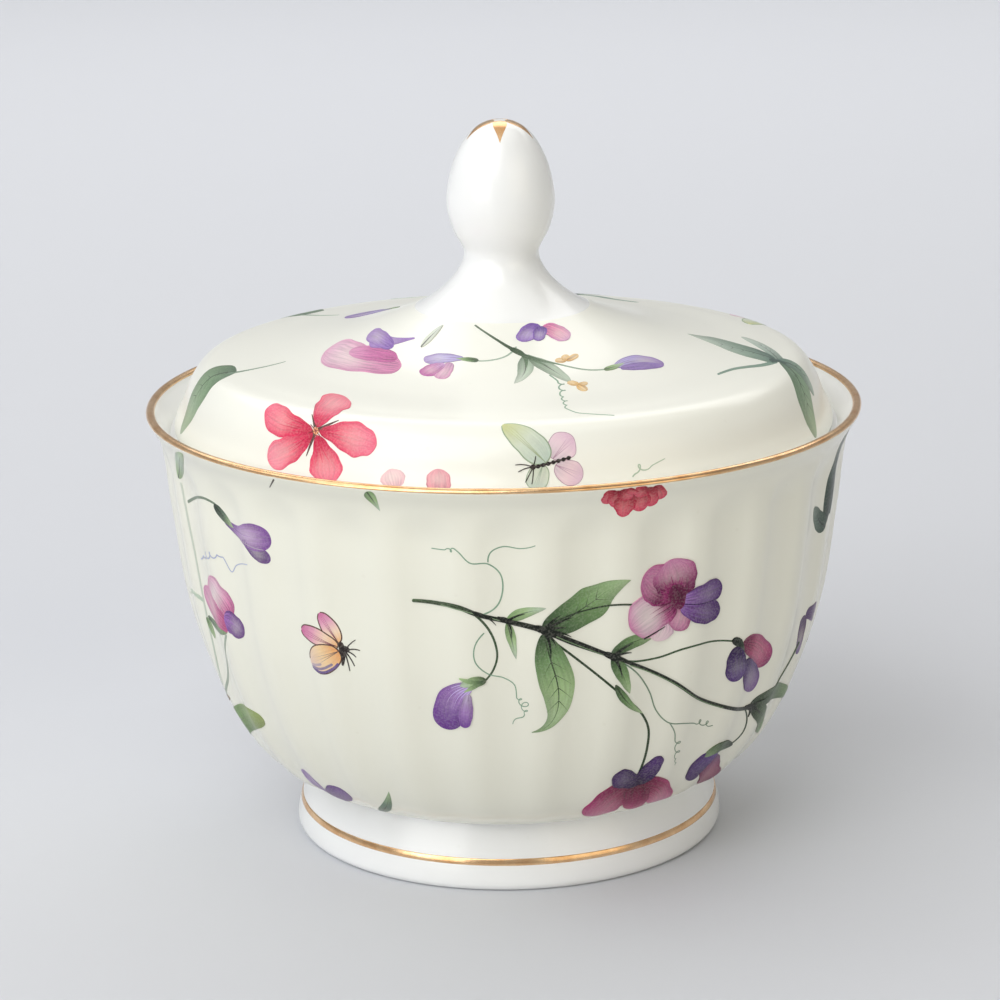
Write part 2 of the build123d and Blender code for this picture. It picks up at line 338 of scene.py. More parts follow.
def build_lid():
    outside = evenly(lid_line, spacing=0.5)
    edge = arc((LID_RADIUS - LID_EDGE_ROUND, LID_SEAT_HEIGHT + LID_EDGE_ROUND), LID_EDGE_ROUND, -90, 0)
    under = evenly(smooth_line(LID_UNDER), spacing=1.5)[::-1]
    seat = [(FINIAL_FOOT_RADIUS, FINIAL_SEAT_HEIGHT), (0, FINIAL_SEAT_HEIGHT)]
    outline = join([(0, LID_HOLLOW_TOP)], under, [(FLANGE_INNER_RADIUS, LID_SEAT_HEIGHT)], edge, outside,
                   seat)
    return make_piece("lid_china", *turned(outline, columns=360), "lid", "ivory_glaze", "lid_shell")


def build_flange():
    round_height = FLANGE_BOTTOM + FLANGE_ROUND
    inner = arc((FLANGE_INNER_RADIUS + FLANGE_ROUND, round_height), FLANGE_ROUND, 180, 270, steps=4)
    outer = arc((FLANGE_OUTER_RADIUS - FLANGE_ROUND, round_height), FLANGE_ROUND, 270, 360, steps=4)
    inner_top, outer_top = [(FLANGE_INNER_RADIUS, LID_SEAT_HEIGHT)], [(FLANGE_OUTER_RADIUS,
            LID_SEAT_HEIGHT)]
    outline = join(inner_top, inner, outer, outer_top, inner_top)
    return make_piece("lid_flange_china", *turned(outline), "lid", "white_glaze", "lid_flange")


def build_finial():
    foot = [(0, FINIAL_SEAT_HEIGHT), (FINIAL_FOOT_RADIUS, FINIAL_SEAT_HEIGHT)]
    outline = join(foot, evenly(finial_line, spacing=0.35))
    return make_piece("finial_china", *turned(outline, columns=192), "lid", "white_glaze", "finial")


def skin(line, thickness):
    """A thin closed outline on the outside of a line of (radius, height), rounded off at its edges."""
    slopes = directions(line, lengths(line))
    outward = np.column_stack([slopes[:, 1], -slopes[:, 0]])
    bulge = np.sin(np.linspace(0, math.pi, len(line)))[:, None] ** 0.35
    under = line - outward * SINK
    return join(under, (line + outward * thickness * bulge)[::-1], under[:1])[::-1]


def build_gilding():
    lip = evenly(arc(LIP_CENTRE, LIP_ROUND, *GILDED_LIP, steps=16), spacing=0.1)
    foot = evenly(foot_line, spacing=0.08)
    band = foot[(foot[:, 1] > BAND_BOTTOM) & (foot[:, 1] < BAND_TOP)]
    rim_solid, band_solid = turned(skin(lip, GILT), COLUMNS), turned(skin(band, GILT))
    return (
        make_piece("rim_gold", *rim_solid, "bowl", "gilding", "rim_gilding", sharp=80),
        make_piece("foot_gold", *band_solid, "bowl", "gilding", "foot_gilding", sharp=80),
    )


# ---- Materials ----


def put(node, **values):
    """Sets a node's options and inputs by name, with _ for a space. A value that is an output is linked."""
    for name, value in values.items():
        socket = name.replace("_", " ")
        if socket not in node.inputs:
            setattr(node, name, value)
        elif isinstance(value, bpy.types.NodeSocket):
            node.id_data.links.new(value, node.inputs[socket])
        else:
            node.inputs[socket].default_value = value
    return node


def add(tree, kind, **values):
    """A new shader node."""
    return put(tree.nodes.new("ShaderNode" + kind), **values)


def noise(tree, vector, scale, **values):
    return add(tree, "TexNoise", Vector=vector, Scale=scale, **values).outputs["Fac"]


def span(tree, value, **ends):
    """Turns one span of numbers into another; both are 0 to 1 unless given."""
    return add(tree, "MapRange", Value=value, **ends).outputs["Result"]


def mix(tree, share, first, second, **options):
    """One colour over another; each can be an output or a fixed colour."""
    return add(tree, "Mix", data_type="RGBA", Factor=share, A=first, B=second, **options).outputs["Result"]


def multiply(tree, first, second, **options):
    node = add(tree, "Math", operation="MULTIPLY", **options)
    tree.links.new(first, node.inputs[0])
    tree.links.new(second, node.inputs[1])
    return node.outputs["Value"]


def object_place(tree):
    return add(tree, "TexCoord").outputs["Object"]


def new_material(name):
    """A node material: itself, its node tree and its shader."""
    material = bpy.data.materials.new(name)
    material.use_nodes = True
    return material, material.node_tree, material.node_tree.nodes["Principled BSDF"]


def colour(red, green, blue):
    """A display colour, 0 to 255, as the linear colour that shaders use."""
    shares = [c / 255 for c in (red, green, blue)]
    return tuple(((c + 0.055) / 1.055) ** 2.4 if c > 0.04045 else c / 12.92 for c in shares) + (1.0,)


def glaze_group(name, base, fleck, cloud_strength):
    """Glazed china's own colour: faint clouding, and rare, slightly darker flecks under the glaze."""
    group = bpy.data.node_groups.new(name, "ShaderNodeTree")
    group.interface.new_socket("Color", in_out="OUTPUT", socket_type="NodeSocketColor")
    place = object_place(group)
    clouded = tuple(c * (1 - cloud_strength) for c in base[:3]) + (1,)
    ground = mix(group, noise(group, place, 38.0, Detail=3.0, Roughness=0.55), base, clouded)
    spots = add(group, "TexVoronoi", Vector=place, Scale=160.0).outputs["Distance"]
    rare = span(group, spots, From_Min=0.03, From_Max=0.06, To_Min=0.12, To_Max=0.0)
    put(group.nodes.new("NodeGroupOutput"), Color=mix(group, rare, ground, fleck))
    return group


IVORY = glaze_group("ivory_colour", colour(238, 237, 222), colour(214, 210, 190), 0.03)
# The lid's ivory is painted lighter than the bowl's, standing in for the brighter light that falls on the
# lid's upward face; it is also a little less yellow.
LID_IVORY_PAINTED_LIGHT = glaze_group("lid_ivory_painted_light_colour", colour(243, 243, 233), colour(222, 220, 206), 0.02)
WHITE = glaze_group("white_colour", colour(244, 245, 244), colour(226, 226, 221), 0.02)
SHINY, SATIN = (0.19, 0.27), (0.27, 0.36)       # spans of roughness


def glossy_china(name, group, roughness=SHINY):
    """Thick gloss glaze over the colour in a group, with the slight ripple that a fired glaze has."""
    material, tree, shader = new_material(name)
    place = object_place(tree)
    ripples = add(tree, "Bump", Strength=0.012, Distance=0.001,
                  Height=noise(tree, place, 95.0, Roughness=0.4))
    smears = noise(tree, place, 22.0, Detail=3.0)
    put(shader, Coat_Weight=0.25, Coat_Roughness=0.1, Normal=ripples.outputs["Normal"],
        Roughness=span(tree, smears, To_Min=roughness[0], To_Max=roughness[1]),
        Base_Color=add(tree, "Group", node_tree=group).outputs["Color"])
    return material, tree, shader


def two_tone_china(name, group, roughness=SHINY):
    """Ivory glaze outside; the inside, from the top of the lip down, and the underside stay white."""
    material, tree, shader = glossy_china(name, group, roughness)
    ivory = shader.inputs["Base Color"].links[0].from_socket
    white = add(tree, "Group", node_tree=WHITE).outputs["Color"]
    plain = add(tree, "Attribute", attribute_name="plain").outputs["Fac"]
    put(shader, Base_Color=mix(tree, plain, ivory, white))
    return material


def burnished_gold():
    """Thin bright gold with darker, duller rubbed patches."""
    material, tree, shader = new_material("burnished_gold")
    wear = noise(tree, object_place(tree), 240.0, Detail=5.0, Roughness=0.65)
    tone = add(tree, "ValToRGB", Fac=wear)
    rubbed, bright = tone.color_ramp.elements
    rubbed.position, rubbed.color = 0.3, colour(220, 168, 114)
    bright.position, bright.color = 0.62, colour(248, 210, 164)
    bump = add(tree, "Bump", Strength=0.08, Distance=0.0002, Height=wear)
    put(shader, Metallic=0.85, Base_Color=tone.outputs["Color"], Normal=bump.outputs["Normal"],
        Roughness=span(tree, wear, To_Min=0.26, To_Max=0.16))
    return material


def mark_plain(piece, is_plain):
    """Marks the vertices that the printed ground colour doesn't cover, for two_tone_china."""
    places = np.zeros(len(piece.data.vertices) * 3)
    piece.data.vertices.foreach_get("co", places)
    x, y, height = places.reshape(-1, 3).T / MM
    mask = piece.data.attributes.new("plain", "FLOAT", "POINT")
    mask.data.foreach_set("value", is_plain(np.hypot(x, y), height).astype(np.float32))


def plain_in_bowl(radius, height):
    """The cup, the inside of the lip, and the underside, each with a small margin."""
    cup = (height > FLOOR_HEIGHT - 0.1) & (height < INNER_WALL_TOP + 0.1)
    cup &= radius < radius_at(inner_line[::-1], height) + 0.4
    lip = (height > INNER_WALL_TOP) & (radius < radius_at(WHITE_LIP, height))
    return cup | lip | (height < FOOT_HEIGHT + 0.01)


def plain_in_lid(radius, height):
    """The seat and the hollow under the lid."""
    return (height < LID_SEAT_HEIGHT + 0.02) | (radius < radius_at(WHITE_HOLLOW, height))


# ---- Build ----

bowl, foot, lid, flange, finial = build_bowl(), build_foot(), build_lid(), build_flange(), build_finial()
mark_plain(bowl, plain_in_bowl)
mark_plain(lid, plain_in_lid)
bowl.data.materials.append(two_tone_china("ivory_china", IVORY))
# the lid takes the lighter ivory, painted light for its upward face
lid.data.materials.append(two_tone_china("lid_ivory_painted_light_china", LID_IVORY_PAINTED_LIGHT, SATIN))
white_china = glossy_china("white_china", WHITE)[0]
for piece in (foot, flange, finial):
    piece.data.materials.append(white_china)
gold = burnished_gold()
for piece in build_gilding():
    piece.data.materials.append(gold)

# ---- Printed flowers: thin fired-on enamel that follows the glaze under it ----

LEAF_LIGHT, LEAF_MID, LEAF_DARK = (170, 200, 142), (120, 156, 98), (52, 76, 48)
STEM, TENDRIL, HAZE = (26, 42, 24), (132, 164, 138), (192, 210, 188)
VIOLET, VIOLET_DARK = (136, 95, 166), (80, 45, 106)
CORAL_LIGHT, CORAL, CORAL_DARK = (246, 144, 164), (240, 76, 112), (196, 22, 66)
AMBER, INK = (240, 176, 98), (44, 34, 34)

FINENESS = 0.26     # spacing of the points across a petal, so that the print hugs the flutes
THIN = 0.5          # up to this half width, rows of points lie twice as close
BOLD = 1.2          # drawn lines are printed a little wider than given
LAYER = 0.0022      # each stroke lies this far over the one before it
WIDE = 1.4          # the half width from which a leaf gets side veins and a petal gets rays
ROWS = (7, 260)     # fewest and most rows of points along a stroke
SIDE_COLUMNS = (1, 12)               # fewest and most columns of points on each side of its middle
BELLY, BELLY_SPREAD = 0.58, 0.26     # where along a pale petal its ink is thinnest, in shares of its length

grains = random.Random(11)


def printed_enamel():
    """Ceramic print: pigment over the ivory ground, streaked along each stroke, with a fine stipple."""
    material, tree, shader = glossy_china("printed_enamel", IVORY, roughness=(0.26, 0.36))
    ground = shader.inputs["Base Color"].links[0].from_socket
    ink, grain, veins = (add(tree, "Attribute", attribute_name=name) for name in ("ink", "grain", "veins"))
    stretched = add(tree, "VectorMath", operation="MULTIPLY")
    tree.links.new(grain.outputs["Vector"], stretched.inputs[0])
    stretched.inputs[1].default_value = (0.22, 3.4, 1.0)
    streaks = noise(tree, stretched.outputs["Vector"], 1.0, Detail=3.0, Roughness=0.6)
    depth = multiply(tree, span(tree, streaks, From_Min=0.34, From_Max=0.78), veins.outputs["Fac"])
    paint = mix(tree, depth, ink.outputs["Color"], (0.3, 0.2, 0.3, 1), blend_type="MULTIPLY")
    stipple = noise(tree, object_place(tree), 3400.0, Detail=1.0)
    dots = span(tree, stipple, From_Min=0.35, From_Max=0.6, To_Min=0.93, To_Max=1.02)
    cover = multiply(tree, ink.outputs["Alpha"], dots, use_clamp=True)
    put(shader, Specular_IOR_Level=0.28, Coat_Weight=0.0, Base_Color=mix(tree, cover, ground, paint))
    return material


ENAMEL = printed_enamel()


def ramp(values, t):
    """Values spread evenly along t, from 0 to 1."""
    values = np.array(values, float)
    if values.ndim == 1:
        return np.interp(t, np.linspace(0, 1, len(values)), values)
    return np.stack([ramp(values[:, k], t) for k in range(values.shape[1])], axis=-1)


def half_widths(widths, t, total):
    """A stroke's half widths at t, from 0 to 1, swelling smoothly and rounded at its blunt ends."""
    steps = np.linspace(0, 1, len(widths))
    outline = smooth_line(np.column_stack([steps, widths]), steps=8)
    half = np.clip(np.interp(t, outline[:, 0], outline[:, 1]), 0.0, None)
    for end, distance in ((widths[0], t * total), (widths[-1], (1 - t) * total)):
        cap = min(end, total / 2)
        if cap > 0:
            half = half * np.sqrt(1 - np.clip(1 - distance / cap, 0, 1) ** 2)
    return half


def pigment(t, c, inks, cover, rim, rim_share, shade, pale):
    """Ink and opacity over a stroke, by t from its base to its tip and c from edge to edge, -1 to 1."""
    tint = np.array([colour(*ink)[:3] for ink in inks])
    tint = ramp(tint if len(inks) > 1 else np.repeat(tint, 2, 0), t)
    if rim is not None:
        edge = rim_share * np.maximum(np.abs(c) ** 3 * np.sqrt(t), t**7)
        tint = tint + (np.array(colour(*rim)[:3]) - tint) * edge[..., None]
    tint = tint * (1 - shade * np.clip(-c * 2, 0, 1))[..., None]
    belly = np.exp(-(((t - BELLY) / BELLY_SPREAD) ** 2)) * (1 - np.abs(c) ** 1.6)
    opacity = ramp(cover, t) * (1 - pale * belly)
    return np.concatenate([tint, opacity[..., None]], axis=-1).reshape(-1, 4)


def grid_border(rows, across):
    """The outer vertices of a grid, in order."""
    up = [i * across for i in range(rows)]
    far = [(rows - 1) * across + j for j in range(1, across)]
    down = [i * across + across - 1 for i in range(rows - 2, -1, -1)]
    near = list(range(across - 2, 0, -1))
    return up + far + down + near


class Printing:
    """One printed group, drawn in flat millimetres: x to the right of its turn, y along the outline."""

    def __init__(self, name, surface, turn, rise=0.0):
        self.name, self.surface = name, surface
        self.turn, self.rise = math.radians(turn), rise
        self.points, self.faces, self.ink, self.grain, self.veins = [], [], [], [], []
        self.lift = SINK

    def place(self, flat, lift):
        """Points of the drawing in space, standing off the surface by the lift."""
        height = flat[:, 1] + self.rise
        return self.surface.point(self.turn + flat[:, 0] / self.surface.radius(height), height, lift)

    def blade(self, path, widths, inks, cover=(1, 1), rim=None, rim_share=0.0, veins=0.3, shade=0.0,
              ruffle=0.0, pale=0.0, layer=LAYER):
        """A stroke, leaf or petal: a path, half widths spread evenly along it, and inks from its base on.
        Pale thins the ink in its middle, a rim colour gathers at its edge, and layer is how far it lies
        over what is already drawn. Returns its two edges."""
        path = np.array(path, float)
        path = path[np.concatenate([[True], np.linalg.norm(np.diff(path, axis=0), axis=1) > 1e-6])]
        line = smooth_line(path, steps=10)
        along = lengths(line)
        total = along[-1]
        wide = max(widths)
        rows = int(np.clip(total / (FINENESS if wide > THIN else FINENESS / 2), *ROWS))
        across = 2 * int(np.clip(wide / FINENESS, *SIDE_COLUMNS)) + 1
        t = (1 - np.cos(np.linspace(0, math.pi, rows))) / 2
        centre = point_at(line, along, t * total)
        ahead = directions(centre, t)
        side = np.column_stack([-ahead[:, 1], ahead[:, 0]])
        seed = grains.uniform(0, 90)
        half = half_widths(widths, t, total)
        half = half * (1 + ruffle * (np.sin(t * 9 + seed) * 0.6 + np.sin(t * 21 + 2 * seed) * 0.4))
        c = np.linspace(-1, 1, across)
        grid = centre[:, None, :] + side[:, None, :] * (c[None, :] * half[:, None])[:, :, None]
        grid_t, grid_c = np.meshgrid(t, c, indexing="ij")
        ink = pigment(grid_t, grid_c, inks, cover, rim, rim_share, shade, pale)
        grain = np.stack([grid_t * total, grid_c * wide, np.full_like(grid_t, seed)], axis=-1)
        self.lift += layer
        start, count = len(self.points), rows * across
        flat = grid.reshape(-1, 2)
        self.points += self.place(flat, self.lift).tolist() + self.place(flat, -SINK).tolist()
        self.ink += 2 * ink.tolist()
        self.grain += 2 * grain.reshape(-1, 3).tolist()
        self.veins += 2 * (veins * (1.35 - 0.8 * grid_t)).ravel().tolist()
        top = [
            (i * across + j, (i + 1) * across + j, (i + 1) * across + j + 1, i * across + j + 1)
            for i in range(rows - 1) for j in range(across - 1)
        ]
        around = grid_border(rows, across)
        solid = [f[::-1] for f in top] + [tuple(v + count for v in f) for f in top]
        solid += [(a, b, b + count, a + count) for a, b in zip(around, around[1:] + around[:1])]
        self.faces += [tuple(start + v for v in f) for f in solid]
        return grid[:, 0], grid[:, -1]

    def stroke(self, path, width, ink=STEM, end=None, cover=(1, 1), veins=0.2):
        """A thin drawn line, half width to half width."""
        last = width if end is None else end
        widths = [BOLD * width, BOLD * (width + last) / 2, BOLD * last]
        self.blade(path, widths, [ink], cover=cover, veins=veins)

    def leaf(self, path, widths, tones=(LEAF_DARK, LEAF_MID, LEAF_LIGHT), cover=(1, 1, 0.9), rib=0.09):
        """A leaf with its midrib and, where it is wide, five pairs of side veins."""
        self.blade(path, widths, tones, cover=cover, rim=LEAF_DARK, rim_share=0.3, veins=0.4, shade=0.2,
                   ruffle=0.05)
        line = smooth_line(path, steps=10)
        dark, mid = tuple(int(c * 0.5) for c in tones[1]), tuple(int(c * 0.8) for c in tones[-1])
        self.blade(line[: int(len(line) * 0.9) : 4], [rib * 1.5, rib, 0.02], [dark, dark, mid],
                   layer=2 * LAYER)
        if max(widths) > WIDE:
            along = lengths(line)
            for at in (0.14, 0.26, 0.38, 0.5, 0.62):
                base, ahead = point_at(line, along, np.array([at * along[-1], at * along[-1] + 0.3]))
                forward = (ahead - base) / np.linalg.norm(ahead - base)
                reach = ramp(widths, np.array([at]))[0] * 0.78
                for hand in (-1, 1):
                    out = np.array([-forward[1], forward[0]]) * hand
                    tip = base + out * reach + forward * reach * 1.1
                    middle = (base + tip) / 2 - forward * 0.1 * reach
                    self.blade([base - forward * 0.2, middle, tip], [0.06, 0.035, 0.01], [dark, mid],
                               layer=0)

    def petal(self, path, widths, tones, rim=None, cover=(1, 1, 1), veins=0.85, ruffle=0.07,
              rim_share=0.65, pale=0.3):
        """A petal, with fine rays from its base where it is wide."""
        edges = self.blade(path, widths, tones, cover=cover, rim=rim or tones[0], rim_share=rim_share,
                           veins=veins, ruffle=ruffle, pale=pale)
        rays = 0 if max(widths) < WIDE else (5 if max(widths) < 2.2 else 7)
        reach = grains.uniform(0.5, 0.62)
        for share in np.linspace(-0.72, 0.72, rays):
            ray = ((edges[0] + edges[1]) + (edges[1] - edges[0]) * share) / 2
            ray = ray[1 : int(len(ray) * (reach - 0.14 * abs(share) + grains.uniform(-0.06, 0.06))) : 3]
            if len(ray) > 2:
                self.blade(ray, [0.07, 0.055, 0.01], [tones[0], tones[0], tones[1]], layer=LAYER / 4)

    def wing(self, path, widths, tones, line, width):
        """A butterfly's wing: washed colour inside a drawn outline, with rays from its root."""
        edges = self.blade(path, widths, tones, cover=(0.9, 0.85, 0.95), veins=0.25, ruffle=0.04)
        for edge in edges:
            self.stroke(edge[::3], width, line, width * 0.8)
        root, mid = np.array(path[0]), (edges[0] + edges[1]) / 2
        far = int(len(mid) * 0.8)
        for share in (-0.45, 0.05, 0.5):
            end = mid[far] + (edges[1] - edges[0])[far] * share / 2
            self.blade([root, (root + end) / 2, end], [0.045, 0.035, 0.01], [line, tones[-1]],
                       layer=LAYER / 4)
        return edges

    def finish(self, material=ENAMEL, slot="ivory_glaze", node=None):
        """Makes the group's mesh, with its ink, streak grain and vein strength stored on the points."""
        piece = make_piece(self.name, self.points, self.faces, self.surface.body, slot, node, sharp=60)
        for name, kind, field, values in (
            ("ink", "FLOAT_COLOR", "color", self.ink), ("grain", "FLOAT_VECTOR", "vector", self.grain),
            ("veins", "FLOAT", "value", self.veins),
        ):
            layer = piece.data.attributes.new(name, kind, "POINT")
            layer.data.foreach_set(field, np.array(values, np.float32).ravel())
        piece.data.materials.append(material)


def heading(degrees):
    """A unit step in a direction."""
    return np.array([math.cos(math.radians(degrees)), math.sin(math.radians(degrees))])


def bent(start, end, right=0.0, up=0.0):
    """A path of three points whose middle one is moved aside."""
    return [start, ((start[0] + end[0]) / 2 + right, (start[1] + end[1]) / 2 + up), end]


def coil(start, end, radius, loops):
    """Points of a curly tendril: loops that run from one place to another."""
    start, end = np.array(start, float), np.array(end, float)
    ahead = (end - start) / np.linalg.norm(end - start)
    side = np.array([-ahead[1], ahead[0]])
    steps_per_loop = 11
    share = np.linspace(0, 1, int(loops * steps_per_loop))
    angle = share * loops * 2 * math.pi
    swell = radius * np.sin(np.clip(share * math.pi, 0.25, math.pi - 0.25))
    points = start + (end - start) * share[:, None]
    points = points + side * (0.8 * swell * (1 - np.cos(angle)))[:, None]
    points = points + ahead * (0.8 * swell * np.sin(angle))[:, None]
    return points.tolist()


def pea_spray(art):
    """The long sweet-pea branch: a dark stem with leaves, tendrils, buds and four flowers."""
    # tendrils above the stem
    art.stroke([(-3.6, 46.4), (-1.4, 47.6), (-0.5, 50), (-0.8, 52.6), (-2.6, 54.2), (-5, 54.4), (-6.6, 56),
                (-7.4, 56.6), *coil((-7.4, 56.6), (-8.6, 56.4), 0.4, 1.5), (-10.6, 56.3)], 0.1, TENDRIL,
                0.06)
    art.stroke([(-2.5, 54.4), (-2.1, 55.9), (-0.4, 56.7), (2.2, 56.4), (4.2, 56.9)], 0.09, TENDRIL, 0.05)
    # stalks and tendrils below it
    art.stroke([(-4.6, 46.6), (-2.3, 43.6), (-1.4, 40.2), (-1.9, 37.9), (-3.2, 36)], 0.15, (62, 84, 56),
               0.12)
    art.stroke([(-3.2, 43.6), (-4.6, 41.4), (-4.5, 39), (-2.6, 37), (-0.6, 36.4), (1, 35.2), (1.3, 33.2),
                *coil((1.3, 33), (2.4, 30.2), 0.75, 3)], 0.08, TENDRIL, 0.05)
    art.stroke([(2.4, 30.2), (2.2, 29.7), (1.1, 29.3), (0.7, 28.4)], 0.07, TENDRIL, 0.04)
    art.stroke([(16, 38.5), (19, 37.6), (23, 37.5), (27, 38.4), (31.4, 38.4), (36.8, 37.3)], 0.13,
               (58, 84, 52), 0.11)
    art.stroke([(15.8, 38.4), (19.2, 35.6), (21.4, 32), (22.6, 28.4), (24.6, 25.8), (27.4, 25),
                (29.8, 24.2), *coil((30, 24), (32.6, 22.8), 0.8, 2), (33.4, 22.8)], 0.1, (116, 140, 116),
                0.06)
    art.stroke([(24.8, 25.6), (25.7, 23.6), (25.8, 22.4), *coil((25.8, 22.2), (26, 18.6), 0.95, 2),
                *coil((26, 18.4), (26.4, 16.4), 0.3, 2)], 0.08, (128, 150, 128), 0.04)
    art.stroke([(5.6, 43), (10, 39), (14, 35.2), (17.2, 31.8), (20, 28.6), (21.4, 25.4), (21.3, 21.4),
                (20.2, 16.6)], 0.14, (46, 66, 40), 0.16)
    art.stroke([(41.2, 23.4), (42.2, 20.4), (41.4, 17.8), (38.8, 16.3)], 0.13, (46, 66, 40))
    # leaves
    art.leaf([(0, 45.4), (2.6, 46.6), (5.6, 47.3)], [0.15, 0.85, 0.6, 0.03], (LEAF_MID, LEAF_LIGHT, HAZE))
    art.leaf([(0.1, 45.2), (0.7, 42.4), (1.3, 39.4)], [0.15, 0.7, 0.5, 0.03], (LEAF_MID, LEAF_LIGHT, HAZE))
    art.leaf([(5.2, 43.4), (6.1, 39.6), (7.3, 34.4), (7.1, 30.6), (5.8, 28.2), (3.4, 27)],
             [0.2, 2.1, 2.6, 2.2, 0.9, 0.03], (LEAF_DARK, (124, 160, 104), LEAF_LIGHT, (176, 204, 152),
                     LEAF_MID))
    art.leaf([(5, 44), (8.6, 45.4), (12.4, 47.6), (15, 49.5), (18, 50.6)], [0.2, 2.3, 2.7, 1.5, 0.03],
             ((44, 62, 40), (92, 124, 78), LEAF_MID, (140, 172, 116), LEAF_LIGHT))
    art.leaf([(15.8, 34.2), (17.6, 31), (20.4, 28.3)], [0.1, 0.7, 0.5, 0.03])
    art.leaf([(15.3, 39), (16.8, 35.8), (18, 32.4)], [0.2, 1.05, 0.8, 0.03],
             (LEAF_DARK, LEAF_MID, LEAF_LIGHT))
    art.leaf([(15.2, 39.2), (17.8, 40.7), (20.4, 41.1), (22.6, 41.5)], [0.2, 1.0, 0.9, 0.03])
    art.leaf([(42.4, 23.6), (46.6, 24), (51, 23.4), (57, 20.4)], [0.3, 1.5, 1.5, 0.1],
             ((36, 50, 34), (86, 110, 72), LEAF_MID))
    art.leaf([(42.8, 23.2), (45.6, 21), (48, 17.6), (49, 14.4)], [0.4, 1.7, 1.5, 0.1],
             ((36, 50, 34), (92, 118, 78), LEAF_MID))
    art.stroke([(44, 23.6), (49.5, 24.8), (54, 27.4), (57, 31)], 0.14, (66, 88, 58))
    art.stroke([(4.6, 44.3), (8, 45.6), (12.4, 46.6), (15.6, 47), (19.4, 46.5)], 0.08, (44, 60, 38), 0.1)
    # main stem, drawn over the stalks
    art.blade([(-13.6, 48.2), (-10, 48), (-6.8, 47.6), (-3.6, 46.3), (0.4, 45.2), (5, 44), (10, 41.4),
               (15, 39.1)], [0.22, 0.34, 0.36, 0.42, 0.34], [(96, 124, 84), (36, 50, 30), (18, 24, 14),
                       (12, 15, 9)], veins=1.0, ruffle=0.12)
    art.stroke([(-9.4, 47.8), (-5, 46.8), (-1, 45.4)], 0.07, (128, 152, 116), 0.05)
    art.stroke([(7, 42.9), (10, 41.2), (14.4, 39.1)], 0.07, (104, 130, 92), 0.05)
    art.stroke([(14.6, 39.3), (20, 36.4), (25, 33.2), (30, 29), (35.4, 25.9), (40, 23.9), (43.6, 23.2)],
               0.21, (24, 36, 20), 0.28, veins=1.0)
    art.stroke([(18, 37.2), (25, 33), (30, 28.8), (35, 25.9)], 0.07, (112, 140, 98), 0.05)
    for spot, size, arms in (
        ((-3.4, 46.3), 0.4, ((1.9, -1.6), (2.2, -0.7))),
        ((0.2, 45.3), 0.5, ((2.4, 1.1), (0.5, -2.6), (2.2, -0.4))),
        ((5.3, 43.9), 0.85, ((4.2, 1.6), (2.4, 2.2), (0.9, -4.6), (3.4, 0.1), (1.7, -2.6), (4.0, -1.4))),
        ((15.4, 38.9), 0.8, ((3.1, 1.8), (1.3, -3.6), (2.8, 0.3), (2.8, -1.4))),
        ((42.6, 23.3), 0.75, ((3.4, 0.6), (2.6, -2.4), (-0.3, -1.9))),
    ):
        art.blade([(spot[0] - 1.5, spot[1] + 0.7), spot, (spot[0] + 1.4, spot[1] - 0.6)],
                  [0.1, size * 0.75, 0.1], [(14, 20, 11)], veins=0.8, ruffle=0.2)
        for across, up in arms:
            bend = (spot[0] + across * 0.5 - up * 0.07, spot[1] + up * 0.5 + across * 0.07)
            art.blade([spot, bend, (spot[0] + across, spot[1] + up)], [size * 0.34, size * 0.2, 0.015],
                      [(12, 18, 9), (22, 34, 18)], layer=LAYER / 2)
    # the flowers lie apart, so each starts again from just over the stems
    ground = art.lift
    # hanging bud
    art.petal([(-5, 35.2), (-7.4, 33.6), (-8.4, 31.2), (-8.1, 29.2), (-7.4, 27.8)],
              [0.5, 1.6, 2.4, 2.6, 2.0], ((206, 187, 236), (166, 123, 194), (124, 75, 160), (102, 53, 138)),
              rim=(100, 51, 136), pale=0.1)
    art.petal([(-5.6, 33.8), (-6, 30.8), (-6.2, 28)], [0.3, 0.9, 1.0, 0.7],
              ((216, 204, 228), (176, 137, 200), (112, 65, 148)), rim=(118, 71, 152), pale=0)
    art.leaf([(-3, 36), (-4.6, 35.9), (-6.8, 35.2)], [0.3, 0.8, 0.7, 0.05], (LEAF_DARK, LEAF_LIGHT, HAZE))
    for tip in ((-6.9, 36.4), (-6.2, 34.2)):
        art.blade([(-3.4, 36), (-5, 35.9 if tip[1] > 35.5 else 35), tip], [0.15, 0.35, 0.03],
                  [LEAF_DARK, LEAF_LIGHT])
